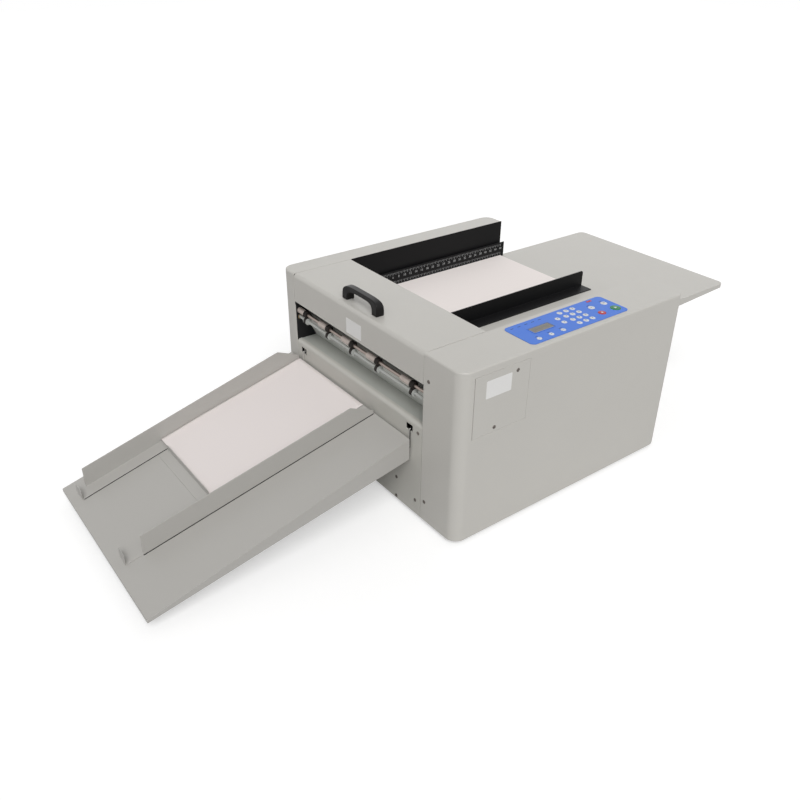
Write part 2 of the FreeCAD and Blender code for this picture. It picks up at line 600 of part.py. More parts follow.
frontFace = nearSheetEdge - d.slipGap
frontWall = prism("FrontGuideWall", "XZ_Plane",
                  [(d.guideStart, tableTop), (frontGuideEnd, tableTop),
                   (frontGuideEnd, tableTop + d.guideHeight),
                   (d.guideStart, tableTop + d.guideHeight)],
                  frontFace - d.guideWall, frontFace)
fillet(frontWall, d.frontGuideNose, lambda edge: near(edge.ZMin, tableTop + d.guideHeight)
       and near(edge.XMin, frontGuideEnd))
frontFoot = box("FrontGuideFoot", (d.guideStart, frontGuideEnd),
                (frontFace - d.guideFoot, frontFace), (tableTop, tableTop + d.footSheet))
publish(fuse("FrontGuide", frontWall, frontFoot), "front_guide")

publish(box("Stack", (d.stackStart, d.stackStart + d.sheetLength), (nearSheetEdge, farSheetEdge),
            (tableTop, tableTop + d.stackHeight)), "feed_sheets")

gateBeamLow = tableTop + d.gateBeamRise
gateEnd = d.gateBeamStart + d.gateBeamDepth
gateBeam = box("GateBeam", (d.gateBeamStart, gateEnd), (innerNear, innerFar - d.linerThickness),
               (gateBeamLow, gateBeamLow + d.gateBeamHeight))
gateFingers = []
for number in (-1, 1):
    middle = beltMiddle + d.gateFingerOffset * number
    gateFingers.append(box(f"GateFinger{number + 1}", (gateEnd - d.gateSheet, gateEnd),
                           (middle - d.gateFingerWidth / 2, middle + d.gateFingerWidth / 2),
                           (tableTop + d.gateSlot, gateBeamLow + d.coverWall)))
publish(fuse("FeedGate", gateBeam, *gateFingers), "feed_gate")

# driven rollers and their pulleys
farBushEnd = innerFar + d.frameThickness
nearBushEnd = innerNear - d.frameThickness
lanes = [nearBushEnd - d.laneOne - d.lanePitch * number for number in range(3)]
lanes.append(nearBushEnd - d.camLane)
halfBelt = d.timingWidth / 2


def pulley(name, centre, lane, radius):
    return rod(name, "y", lane - halfBelt, lane + halfBelt, centre, radius)


def shaft(name, key, first):
    """The shaft of one pair of bushes, from the given Y to just past the far bush."""
    centre, radius = shafts[key]
    return rod(name, "y", first, farBushEnd + d.seamGap, centre, radius)


wheelLows = [innerNear + d.nearTyre - d.tyreWidth / 2]
tyreSpan = innerFar - d.lastTyreInset - innerNear - d.firstTyre
for number in range(driving["tyreCount"]):
    middle = innerNear + d.firstTyre + tyreSpan * number / (driving["tyreCount"] - 1)
    wheelLows.append(middle - d.tyreWidth / 2)
lowerPlace = (d.exitX, driveAxis)
upperPlace = (d.exitX, exitShaftZ)
lowerWheels = [rod(f"LowerWheel{number}", "y", low, low + d.tyreWidth, lowerPlace,
                   d.exitWheelRadius) for number, low in enumerate(wheelLows)]
publish(fuse("ExitLower", shaft("ExitLowerShaft", "Exit", lanes[2] - halfBelt), *lowerWheels,
             pulley("ExitPulley", lowerPlace, lanes[2], d.pulleyRadius)), "exit_drive_shaft")
hubs = [rod(f"Hub{number}", "y", low + d.tyreWidth, low + d.tyreWidth + d.hubWidth, upperPlace,
            d.hubRadius) for number, low in enumerate(wheelLows)]
publish(fuse("ExitUpper", shaft("ExitUpperShaft", "ExitTop", nearBushEnd - d.seamGap), *hubs),
        "exit_nip_shaft")
tyres = []
for number, low in enumerate(wheelLows):
    solid = rod(f"Tyre{number}", "y", low, low + d.tyreWidth, upperPlace, d.tyreRadius)
    bore = rod(f"TyreBore{number}", "y", low, low + d.tyreWidth, upperPlace,
               d.exitShaftRadius + d.runningGap)
    tyres.append(cut(f"WholeTyre{number}", solid, bore))
publish(group("Tyres", *tyres), "exit_tyres")

rollerSpan = (innerNear + d.rollerClear, innerFar - d.rollerClear)
pullPlace = (d.pullX, driveAxis)
publish(fuse("PullLower", shaft("PullLowerShaft", "Pull", lanes[2] - halfBelt),
             rod("PullLowerRoll", "y", *rollerSpan, pullPlace, d.pullRadius),
             pulley("PullPulleyOut", pullPlace, lanes[2], d.pulleyRadius),
             pulley("PullPulleyIn", pullPlace, lanes[1], d.pulleyRadius)), "pull_roller_lower")
publish(fuse("PullUpper", shaft("PullUpperShaft", "Pinch", nearBushEnd - d.seamGap),
             rod("PullUpperRoll", "y", *rollerSpan, (d.pullX, pinchZ), d.pinchRadius)),
        "pull_roller_upper")

for label, key, place, first in (
        ("feed_drive_roller", "BeltDrive", (d.beltDriveX, driveAxis), lanes[0] - halfBelt),
        ("feed_idler_roller", "BeltIdler", (d.beltIdlerX, driveAxis), nearBushEnd - d.seamGap)):
    rolls = [rod(f"{key}Roll{number}", "y", low - d.coverWall, low + d.beltRollerWidth - d.coverWall,
                 place, d.beltRollerRadius) for number, low in enumerate(beltLows)]
    if key == "BeltDrive":
        rolls.append(pulley("FeedPulley", place, lanes[0], d.pulleyRadius))
    publish(fuse(key + "Roller", shaft(key + "Shaft", key, first), *rolls), label)

belts = [loop(f"SuctionBelt{number}", ((d.beltDriveX, driveAxis), (d.beltIdlerX, driveAxis)),
              (low, low + d.beltWidth), d.beltRollerRadius + d.slipGap, d.beltThickness)
         for number, low in enumerate(beltLows)]
publish(group("SuctionBelts", *belts), "suction_belts")

# suction box, ducts and blower under the belts
boxX = (d.beltDriveX + d.plenumInset, d.beltIdlerX - d.plenumInset)
boxLow = driveAxis - d.plenumHeight / 2
plenum = box("Plenum", boxX, (beltLows[0], beltLows[2] + d.beltWidth),
             (boxLow, boxLow + d.plenumHeight))
ductX = (boxX[0] + boxX[1] - d.ductSide) / 2
blowerTop = d.blowerHeight + d.blowerRadius
ducts = [box(f"Duct{number}", (ductX, ductX + d.ductSide),
             (beltMiddle + d.ductOffset * number - d.ductSide / 2,
              beltMiddle + d.ductOffset * number + d.ductSide / 2),
             (blowerTop + d.ductSide, boxLow)) for number in (-1, 1)]

blowerX = (boxX[0] + boxX[1]) / 2
blowerSpan = (beltMiddle - d.blowerWidth / 2, beltMiddle + d.blowerWidth / 2)
volute = rod("Volute", "y", *blowerSpan, (blowerX, d.blowerHeight), d.blowerRadius)
manifold = box("Manifold", (ductX, ductX + d.ductSide),
               (beltMiddle - d.ductOffset - d.ductSide / 2,
                beltMiddle + d.ductOffset + d.ductSide / 2),
               (blowerTop - d.ductSide, blowerTop + d.ductSide))
stand = box("BlowerStand", (blowerX - d.ductSide, blowerX + d.ductSide), blowerSpan,
            (panFloor, d.blowerHeight))
fan = rod("BlowerMotor", "y", blowerSpan[0] - d.motorSide, blowerSpan[0],
          (blowerX, d.blowerHeight), d.ductSide)
publish(fuse("Blower", volute, manifold, stand, fan, plenum, *ducts), "suction_blower")

# creasing tools
dieX = (d.toolX - d.dieWidth / 2, d.toolX + d.dieWidth / 2)
die = box("Die", dieX, (innerNear, innerFar), (dieTop - d.dieHeight, dieTop))
groove = box("DieGroove", (d.toolX - d.grooveWidth / 2, d.toolX + d.grooveWidth / 2),
             (innerNear, innerFar), (dieTop - d.grooveDepth, dieTop + d.grooveDepth))

ramTop = ramBottom + d.ramHeight
postPlaces = [(d.toolX, innerNear + d.postInset), (d.toolX, innerFar - d.postInset)]
posts = [rod(f"Post{number}", "z", dieTop, ramTop + d.bladeHeight, place, d.postRadius)
         for number, place in enumerate(postPlaces)]
publish(fuse("DieBar", cut("GroovedDie", die, groove), *posts), "crease_die_bar")

ramSpan = (innerNear + d.ramEndGap, innerFar - d.ramEndGap)
camCentre = camZ + d.camThrow
windowHalf = d.camRadius + d.yokeGap / 2
windowReach = d.camRadius + d.camThrow + d.yokeGap
ramPieces = [
    box("RamBeam", (d.toolX - d.ramWidth / 2, d.toolX + d.ramWidth / 2), ramSpan,
        (ramBottom, ramTop)),
    box("Blade", (d.toolX - d.bladeWidth / 2, d.toolX + d.bladeWidth / 2), ramSpan,
        (bladeTip, ramBottom)),
]
windows = [rod(f"PostBore{number}", "z", bladeTip, ramTop, place, d.postRadius + d.runningGap)
           for number, place in enumerate(postPlaces)]
yokeMiddles = (innerNear + d.yokeInset, innerFar - d.yokeInset)
for number, middle in enumerate(yokeMiddles):
    span = (middle - d.yokeWidth / 2, middle + d.yokeWidth / 2)
    ramPieces.append(box(f"Yoke{number}", (d.toolX - windowReach - d.yokeWall,
                                           d.toolX + windowReach + d.yokeWall), span,
                         (ramTop, camCentre + windowHalf + d.yokeWall)))
    windows.append(box(f"YokeWindow{number}", (d.toolX - windowReach, d.toolX + windowReach),
                       span, (camCentre - windowHalf, camCentre + windowHalf)))
publish(cut("Ram", fuse("RamBlank", *ramPieces), *windows), "crease_ram")

cams = [rod(f"Cam{number}", "y", middle - d.camWidth / 2, middle + d.camWidth / 2,
            (d.toolX, camCentre), d.camRadius) for number, middle in enumerate(yokeMiddles)]
publish(fuse("CamShaft", shaft("CamShaftRod", "Cam", lanes[3] - halfBelt), *cams,
             pulley("CamPulley", (d.toolX, camZ), lanes[3], d.camPulleyRadius)), "cam_shaft")

# motors on the operator's frame, their pulleys and belts
drives = {
    "Feed": ("feed_motor_pulley", lanes[0], d.pulleyRadius, driveAxis),
    "Exit": ("exit_motor_pulley", lanes[1], d.pulleyRadius, driveAxis),
    "Crease": ("crease_motor_pulley", lanes[3], d.camPulleyRadius, camZ),
}
timingBelts = []
motorCases = []
for key, (pulleyLabel, lane, radius, drivenZ) in drives.items():
    x, z, length = motors[key]
    half = d.motorSide / 2
    case = prism(key + "MotorCase", "XZ_Plane",
                 [(x - half, z - half), (x + half, z - half), (x + half, z + half),
                  (x - half, z + half)], innerNear, innerNear + length)
    fillet(case, d.motorRound, lambda edge: edge.YLength > 1 and edge.XLength < 0.01)
    socket = rod(key + "MotorSocket", "y", innerNear, innerNear + d.lanePitch, (x, z),
                 d.motorShaftRadius + d.runningGap)
    motorCases.append(cut(key + "Motor", case, socket))
    spindle = rod(key + "Spindle", "y", lane - halfBelt, innerNear + d.lanePitch - d.seamGap,
                  (x, z), d.motorShaftRadius)
    publish(fuse(key + "Rotor", spindle, pulley(key + "RotorPulley", (x, z), lane, radius)),
            pulleyLabel)
    timingBelts.append(loop(key + "Belt", ((x, z), (x, drivenZ)),
                            (lane - halfBelt, lane + halfBelt), radius + d.slipGap,
                            d.timingBelt))
timingBelts.append(loop("ExitBelt2", ((d.exitX, driveAxis), (d.pullX, driveAxis)),
                        (lanes[2] - halfBelt, lanes[2] + halfBelt), d.pulleyRadius + d.slipGap,
                        d.timingBelt))
publish(group("TimingBelts", *timingBelts), "drive_belts")
publish(group("Motors", *motorCases), "drive_motors")

# control panel, keys, display and the board below them
panelTop = coverTop + d.panelSheet
panelX = (d.panelStart, d.panelStart + d.panelLength)
panelY = (d.panelInset, d.panelInset + d.panelDepth)
windowX = (d.windowX - d.windowLength / 2, d.windowX + d.windowLength / 2)
windowY = (d.windowY - d.windowDepth / 2, d.windowY + d.windowDepth / 2)
keys = {
    "mode_key": (d.softKeyX, d.softKeyY, d.keyRadius),
    "select_key": (d.softKeyX + d.softKeyPitch, d.softKeyY, d.keyRadius),
    "enter_key": (d.softKeyX + d.softKeyPitch * 2, d.softKeyY, d.keyRadius),
    "minus_key": (d.minusKeyX, d.stepKeyY, d.stepKeyRadius),
    "plus_key": (d.plusKeyX, d.stepKeyY, d.stepKeyRadius),
    "stop_key": (d.stopKeyX, d.runKeyY, d.stopKeyRadius),
    "start_key": (d.startKeyX, d.runKeyY, d.startKeyRadius),
}
panelSheet = slab("PanelSheet", panelX, panelY, (coverTop, panelTop))
fillet(panelSheet, d.panelRound, upright)
panelHoles = [rod(label + "_hole", "z", coverTop - d.seamGap, panelTop + d.seamGap, (x, y),
                  radius + d.keyGap) for label, (x, y, radius) in keys.items()]
panelHoles.append(box("WindowHole", (windowX[0] - d.slipGap, windowX[1] + d.slipGap),
                      (windowY[0] - d.slipGap, windowY[1] + d.slipGap),
                      (coverTop - d.seamGap, panelTop + d.seamGap)))
publish(cut("ControlPanel", panelSheet, *panelHoles), "control_panel")
publish(box("Window", windowX, windowY, (coverTop, panelTop)), "display_window")
for label, (x, y, radius) in keys.items():
    publish(rod(label + "_cap", "z", coverTop + d.keyTravel + d.restGap, panelTop + d.keyRise,
                (x, y), radius), label)

numberPlaces = [(d.keypadX + d.keyPitchX * column, d.keypadY + d.keyPitchY * row)
                for row in range(4) for column in range(3)]
numberPlaces += [(d.sideKeyX, d.sideKeyY), (d.sideKeyX, d.sideKeyY + d.keyPitchY)]
numberKeys = [rod(f"NumberKey{number}", "z", panelTop, panelTop + d.keyRise, place, d.keyRadius)
              for number, place in enumerate(numberPlaces)]
publish(group("NumberKeys", *numberKeys), "number_keys")
lampX = (d.minusKeyX + d.plusKeyX) / 2
publish(box("Lamp", (lampX - d.stepKeyRadius, lampX + d.stepKeyRadius),
            (panelY[1] - d.panelRound, panelY[1] - d.keyRadius),
            (panelTop, panelTop + d.keyRise)), "status_lamp")

boardLow = coverTop - d.boardDrop
boardX = (panelX[0] + d.boardInset, panelX[1] - d.boardInset)
boardY = (panelY[0] + d.boardInset, panelY[1] - d.boardInset)
board = box("Board", boardX, boardY, (boardLow, boardLow + d.boardSheet))
standoffs = []
for end, x in enumerate((boardX[0] + d.boardInset, boardX[1] - d.boardInset)):
    for side, y in enumerate((boardY[0] + d.boardInset, boardY[1] - d.boardInset)):
        standoffs.append(rod(f"Standoff{end}{side}", "z", boardLow + d.boardSheet,
                             coverTop - d.coverWall, (x, y), d.standoffRadius))
publish(fuse("ControlBoard", board, *standoffs), "control_board")

# supply, inlet and rocker switch
supplyEnd = d.bodyLength - d.tieInset - d.tieRadius - d.supplyInset
supply = slab("Supply", (supplyEnd - d.supplyLength, supplyEnd),
              (d.supplyY, d.supplyY + d.supplyWidth), (panFloor, panFloor + d.supplyHeight))
fillet(supply, d.supplyRound, upright)
publish(supply, "power_supply")

moduleFront = d.bodyLength + d.moduleFlange
moduleHalf = d.moduleRim + d.slipGap
flange = box("InletFlange", (d.bodyLength, moduleFront), (moduleNear, moduleFar),
             (moduleLow, moduleHigh))
case = box("InletCase", (d.bodyLength - d.moduleDepth, d.bodyLength),
           (moduleNear + moduleHalf, moduleFar - moduleHalf),
           (moduleLow + moduleHalf, moduleHigh - moduleHalf))
socketY = d.moduleY - d.rockerOffset + d.rockerOffset / 3
rockerY = d.moduleY + d.rockerOffset
socketHole = box("InletSocket", (moduleFront - d.socketDepth, moduleFront),
                 (socketY - d.socketWidth / 2, socketY + d.socketWidth / 2),
                 (d.moduleZ - d.socketHeight / 2, d.moduleZ + d.socketHeight / 2))
rockerHole = box("RockerHole", (moduleFront - d.rockerCavity, moduleFront),
                 (rockerY - d.rockerWidth / 2 - d.slipGap, rockerY + d.rockerWidth / 2 + d.slipGap),
                 (d.moduleZ - d.rockerHalf - d.rockerGap, d.moduleZ + d.rockerHalf + d.rockerGap))
contacts = []
for number in (-1, 0, 1):
    middle = socketY + d.contactPitch * number
    contacts.append(box(f"Contact{number + 1}", (moduleFront - d.socketDepth,
                                                 moduleFront - d.socketDepth + d.contactReach),
                        (middle - d.contactSide / 2, middle + d.contactSide / 2),
                        (d.moduleZ - d.contactSide, d.moduleZ + d.contactSide)))
pivotPlace = (moduleFront - d.rockerPivot, d.moduleZ)
pinHole = rod("RockerPinHole", "y", rockerY - d.rockerWidth / 2 - d.slipGap - d.rockerPinReach,
              rockerY + d.rockerWidth / 2 + d.slipGap + d.rockerPinReach, pivotPlace,
              d.rockerPin + d.runningGap)
publish(fuse("Inlet", cut("InletShell", fuse("InletBlank", flange, case), socketHole, rockerHole,
                          pinHole), *contacts), "power_inlet")

rockerBack = moduleFront - d.rockerBack
rocker = prism("Rocker", "XZ_Plane",
               [(moduleFront + d.rockerIn, d.moduleZ - d.rockerHalf),
                (moduleFront + d.rockerIn, d.moduleZ),
                (moduleFront + d.rockerOut, d.moduleZ + d.rockerHalf),
                (rockerBack, d.moduleZ + d.rockerHalf / 2),
                (rockerBack, d.moduleZ - d.rockerHalf / 2)],
               rockerY - d.rockerWidth / 2, rockerY + d.rockerWidth / 2)
rockerPin = rod("RockerPin", "y", rockerY - d.rockerWidth / 2 - d.rockerPinReach,
                rockerY + d.rockerWidth / 2 + d.rockerPinReach, pivotPlace, d.rockerPin)
publish(fuse("PowerSwitch", rocker, rockerPin), "power_switch")

# delivery tray, which hangs in the two slots of the lower panel


def overTray(x, rise=0):
    """A corner of a tray part: its X, and the height of the tray's sloping top there."""
    return (x, d.trayRootHeight + traySlope * x + rise)


rootX = 0 - d.trayGap
endX = 0 - d.trayRun
trayBody = prism("Tray", "XZ_Plane",
                 [overTray(rootX), overTray(rootX, 0 - d.trayRootFlange),
                  overTray(endX, 0 - d.trayEndFlange), overTray(endX)],
                 trayNear, trayFar)
sheetRun = d.trayRun.value / 2
shell(trayBody, d.traySheet,
      lambda face: near(face.XMin, rootX) or face.XLength > sheetRun and face.YLength > sheetRun
      and near(face.ZMin, d.trayEndHeight - d.trayEndFlange))
slotBottom = ledge - d.panelSlotDrop
hookZ = slotBottom + d.hookRadius + d.restGap
hooks = []
for side, low in enumerate((trayNear + d.nearHookInset, trayFar - d.farHookInset)):
    span = (low, low + d.hookThickness)
    footTop = overTray(rootX - d.hookOverlap)[1] - d.traySheet / 2
    footLow = footTop - d.hookFoot
    hooks += [
        rod(f"HookPivot{side}", "y", *span, (d.coverWall / 2, hookZ), d.hookRadius),
        box(f"HookLeg{side}", (0 - d.hookSheet - d.slipGap, 0 - d.slipGap), span,
            (footLow, hookZ)),
        box(f"HookArm{side}", (d.coverWall / 2, d.coverWall + d.slipGap + d.hookSheet), span,
            (hookZ - d.hookRadius / 3, hookZ + d.hookRadius)),
        box(f"HookTip{side}", (d.coverWall + d.slipGap, d.coverWall + d.slipGap + d.hookSheet),
            span, (hookZ, slotTop + d.hookTip)),
        box(f"HookFoot{side}", (rootX - d.hookOverlap, 0 - d.slipGap), span,
            (footLow, footTop)),
    ]
lug = box("HookLug", (rootX - d.hookOverlap, rootX), (trayFar - d.farHookInset, trayFar),
          (d.trayRootHeight - d.traySheet * 5 - d.hookFoot,
           d.trayRootHeight - d.traySheet * 4 - d.hookFoot + d.hookSheet))
publish(fuse("DeliveryTray", trayBody, *hooks, lug), "delivery_tray")

guideRoot = 0 - d.trayGap - d.seamGap
stripEnd = 0 - d.trayGuideEnd


def trayGuide(name, footSpan, wallSpan, wallEnd):
    """A side guide: a strip on the tray, a wall bevelled at the machine, an end tab."""
    strip = prism(name + "Strip", "XZ_Plane",
                  [overTray(guideRoot), overTray(stripEnd), overTray(stripEnd, d.trayGuideSheet),
                   overTray(guideRoot, d.trayGuideSheet)], *footSpan)
    wall = prism(name + "Wall", "XZ_Plane",
                 [overTray(guideRoot), overTray(wallEnd), overTray(wallEnd, d.trayGuideHeight),
                  overTray(guideRoot - d.trayWallBevel, d.trayGuideHeight),
                  overTray(guideRoot, d.trayWallRise)], *wallSpan)
    tab = prism(name + "Tab", "XZ_Plane",
                [overTray(stripEnd), overTray(stripEnd - d.trayGuideSheet),
                 overTray(stripEnd - d.trayGuideSheet, d.tabHeight),
                 overTray(stripEnd, d.tabHeight)], *footSpan)
    return fuse(name, strip, wall, tab)


def turning(y):
    """The formula of a turn about the square to the tray's top, at a strip's inner corner."""
    x, z = overTray(guideRoot)
    middle = f"create(<<vector>>; {as_size(x).formula}; {as_size(y).formula}; {z.formula})"
    axis = f"create(<<vector>>; {(0 - traySlope).formula}; 0; 1)"
    turn = f"create(<<rotation>>; {axis}; {(0 - d.nearGuideAngle).formula})"
    return f"create(<<placement>>; create(<<vector>>; 0; 0; 0); {turn}; {middle})"


nearFoot = nearGuideY + d.trayGuideWall
farFoot = farGuideY - d.trayGuideFoot
nearGuide = trayGuide("StraightGuide", (nearFoot, nearFoot + d.trayGuideFoot),
                      (nearGuideY, nearFoot), 0 - d.nearWallEnd)
turnedGuide = group("NearTrayGuide", nearGuide)
turnedGuide.setExpression("Placement", turning(nearFoot + d.trayGuideFoot))
publish(group("SetTrayGuide", turnedGuide), "near_tray_guide")
publish(trayGuide("FarTrayGuide", (farFoot, farGuideY),
                  (farGuideY, farGuideY + d.trayGuideWall), 0 - d.trayWallEnd), "far_tray_guide")

stopFace = 0 - d.stopX
publish(prism("Stop", "XZ_Plane",
              [overTray(stopFace), overTray(stopFace - d.stopFoot),
               overTray(stopFace - d.stopFoot, d.trayGuideSheet),
               overTray(stopFace - d.trayGuideSheet, d.trayGuideSheet),
               overTray(stopFace - d.trayGuideSheet, d.stopHeight),
               overTray(stopFace, d.stopHeight)],
              nearFoot + d.trayGuideFoot + d.stopNearGap, farFoot - d.stopFarGap), "paper_stop")

paperRise = d.trayGuideSheet + d.restGap
paperEnd = 0 - d.paperLength
paperFar = farGuideY - d.slipGap
publish(prism("DeliveredSheet", "XZ_Plane",
              [overTray(guideRoot, paperRise), overTray(0 - d.paperFlat, d.paperTop),
               overTray(paperEnd, d.stopHeight),
               overTray(paperEnd, d.stopHeight + d.paperThickness),
               overTray(0 - d.paperFlat, d.paperTop + d.paperThickness),
               overTray(guideRoot, paperRise + d.paperThickness)],
              paperFar - d.sheetWidth, paperFar), "delivered_sheet")

# screw heads that show on the faces
screws = []
endScrews = ((innerNear - d.sideScrewInset, coverTop - d.sideScrewDrop),
             (innerNear + d.panelScrewInset, ledge - d.panelScrewDrop),
             (innerNear + d.lowScrewInset, d.footDrop + d.lowScrewRise),
             (innerNear - d.coverScrewInset, d.footDrop + d.coverScrewRise))
for number, (y, z) in enumerate(endScrews):
    screws.append(rod(f"EndScrew{number}", "x", 0 - d.screwHead, 0, (y, z), d.screwRadius))
hatchScrews = ((hatchEnd - d.hatchScrewInset, hatchTop - d.hatchScrewDrop),
               (d.hatchStart + d.hatchScrewOffset, hatchBottom + d.hatchScrewRise))
for number, (x, z) in enumerate(hatchScrews):
    screws.append(rod(f"NearScrew{number}", "y", 0 - d.screwHead, 0, (x, z), d.screwRadius))
    screws.append(rod(f"FarScrew{number}", "y", d.bodyWidth, d.bodyWidth + d.screwHead, (x, z),
                      d.screwRadius))
publish(group("Screws", *screws), "cover_screws")

# every sub-part must be sound before it is written
doc.recompute()
for item in doc.Objects:
    if "Invalid" in item.State or "Error" in item.State:
        raise RuntimeError(f"{item.Name} did not recompute: {item.State}")
os.makedirs("parts", exist_ok=True)
for item in published:
    if item.Shape.isNull() or not item.Shape.isValid():
        raise RuntimeError(f"{item.Label} has no sound shape")
    item.Shape.exportStep(f"parts/{item.Label}.step")
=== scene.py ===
import bpy, bmesh, json, math
from mathutils import Vector, Matrix

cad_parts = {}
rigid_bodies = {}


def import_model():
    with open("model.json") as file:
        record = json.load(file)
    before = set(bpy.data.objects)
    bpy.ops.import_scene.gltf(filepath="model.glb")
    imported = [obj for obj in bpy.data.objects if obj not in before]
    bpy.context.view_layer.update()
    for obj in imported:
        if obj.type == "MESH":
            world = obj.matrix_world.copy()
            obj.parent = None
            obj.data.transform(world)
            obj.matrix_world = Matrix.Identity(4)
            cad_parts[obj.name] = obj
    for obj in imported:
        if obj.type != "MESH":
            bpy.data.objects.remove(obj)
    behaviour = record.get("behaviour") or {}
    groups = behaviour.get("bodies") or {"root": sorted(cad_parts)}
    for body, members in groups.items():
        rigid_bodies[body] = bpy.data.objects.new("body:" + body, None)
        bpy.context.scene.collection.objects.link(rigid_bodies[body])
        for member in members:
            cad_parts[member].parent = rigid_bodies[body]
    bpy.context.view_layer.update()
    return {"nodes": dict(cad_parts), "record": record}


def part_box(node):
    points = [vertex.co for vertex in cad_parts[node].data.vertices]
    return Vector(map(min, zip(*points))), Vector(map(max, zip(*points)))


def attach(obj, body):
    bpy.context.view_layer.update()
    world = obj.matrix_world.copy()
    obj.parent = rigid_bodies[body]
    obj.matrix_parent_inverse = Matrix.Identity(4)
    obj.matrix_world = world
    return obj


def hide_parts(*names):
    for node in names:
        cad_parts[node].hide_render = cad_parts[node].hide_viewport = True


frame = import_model()
nodes = frame["nodes"]
bodyOf = {node: body for body, members in frame["record"]["behaviour"]["bodies"].items()
          for node in members}
low = {name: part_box(name)[0] for name in nodes}   # lowest corner of each node at rest
high = {name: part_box(name)[1] for name in nodes}  # and its highest corner
print("frame loaded:", len(nodes), "nodes")


def newGroup(name, inputs, outputs):
    # Inputs of four numbers are colours, and inputs of three are vectors
    tree = bpy.data.node_groups.new(name, "ShaderNodeTree")
    kinds = {1: "NodeSocketFloat", 3: "NodeSocketVector", 4: "NodeSocketColor"}
    for label, value in inputs.items():
        kind = kinds[len(value) if isinstance(value, tuple) else 1]
        socket = tree.interface.new_socket(name=label, in_out="INPUT", socket_type=kind)
        socket.default_value = value
    for label in outputs:
        tree.interface.new_socket(name=label, in_out="OUTPUT",
                                  socket_type=kinds[4 if label == "Colour" else 1])
    return tree, tree.nodes.new("NodeGroupInput"), tree.nodes.new("NodeGroupOutput")


def feed(tree, socket, value):
    # Set a plain number on a socket, or link another socket to it
    if isinstance(value, (int, float)):
        socket.default_value = value
    else:
        tree.links.new(value, socket)


def closeGroup(tree, end, results):
    for label, socket in results.items():
        tree.links.new(socket, end.inputs[label])
    return tree


def mathNode(tree, operation, first, second):
    node = tree.nodes.new("ShaderNodeMath")
    node.operation = operation
    for socket, value in zip(node.inputs, (first, second)):
        feed(tree, socket, value)
    return node.outputs[0]


def noiseNode(tree, vector, scale, detail):
    node = tree.nodes.new("ShaderNodeTexNoise")
    node.inputs["Detail"].default_value = detail
    tree.links.new(vector, node.inputs["Vector"])
    feed(tree, node.inputs["Scale"], scale)
    return node.outputs["Fac"]


def swing(tree, factor, spread):
    # Factor - 0.5, times spread
    return mathNode(tree, "MULTIPLY", mathNode(tree, "SUBTRACT", factor, 0.5), spread)


def shadeColour(tree, colour, factor, spread):
    # The colour made lighter or darker by the swing of a factor
    gain = mathNode(tree, "ADD", swing(tree, factor, spread), 1.0)
    scale = tree.nodes.new("ShaderNodeVectorMath")
    scale.operation = "SCALE"
    tree.links.new(colour, scale.inputs[0])
    tree.links.new(gain, scale.inputs["Scale"])
    return scale.outputs[0]


def grainGroup():
    # Powder paint, plastic and rubber: fine texture over slow changes of tone
    tree, start, end = newGroup(
        "surfaceGrain",
        {"Colour": (0.5, 0.5, 0.5, 1), "Grain Scale": 900, "Tone Spread": 0.05,
         "Fine Spread": 0.05, "Roughness": 0.5, "Rough Spread": 0.15},
        ("Colour", "Roughness", "Height"))
    place = tree.nodes.new("ShaderNodeTexCoord").outputs["Object"]
    fine = noiseNode(tree, place, start.outputs["Grain Scale"], 3)
    slow = noiseNode(tree, place, 7.0, 2)
    handled = noiseNode(tree, place, 38.0, 4)
    toned = shadeColour(tree, start.outputs["Colour"], slow, start.outputs["Tone Spread"])
    fineTone = shadeColour(tree, toned, fine, start.outputs["Fine Spread"])
    rough = swing(tree, handled, start.outputs["Rough Spread"])
    return closeGroup(tree, end, {
        "Colour": fineTone, "Height": fine,
        "Roughness": mathNode(tree, "ADD", start.outputs["Roughness"], rough)})


def brushGroup():
    # Turned or brushed metal: lines drawn out along one axis
    tree, start, end = newGroup(
        "brushedLines",
        {"Colour": (0.6, 0.6, 0.6, 1), "Stretch": (1, 1, 1), "Line Scale": 900,
         "Tone Spread": 0.2, "Roughness": 0.3, "Rough Spread": 0.2},
        ("Colour", "Roughness", "Height"))
    place = tree.nodes.new("ShaderNodeTexCoord").outputs["Object"]
    longer = tree.nodes.new("ShaderNodeVectorMath")
    longer.operation = "MULTIPLY"
    tree.links.new(place, longer.inputs[0])
    tree.links.new(start.outputs["Stretch"], longer.inputs[1])
    lines = noiseNode(tree, longer.outputs[0], start.outputs["Line Scale"], 4)
    rough = swing(tree, lines, start.outputs["Rough Spread"])
    toned = shadeColour(tree, start.outputs["Colour"], lines, start.outputs["Tone Spread"])
    return closeGroup(tree, end, {
        "Colour": toned, "Height": lines,
        "Roughness": mathNode(tree, "ADD", start.outputs["Roughness"], rough)})


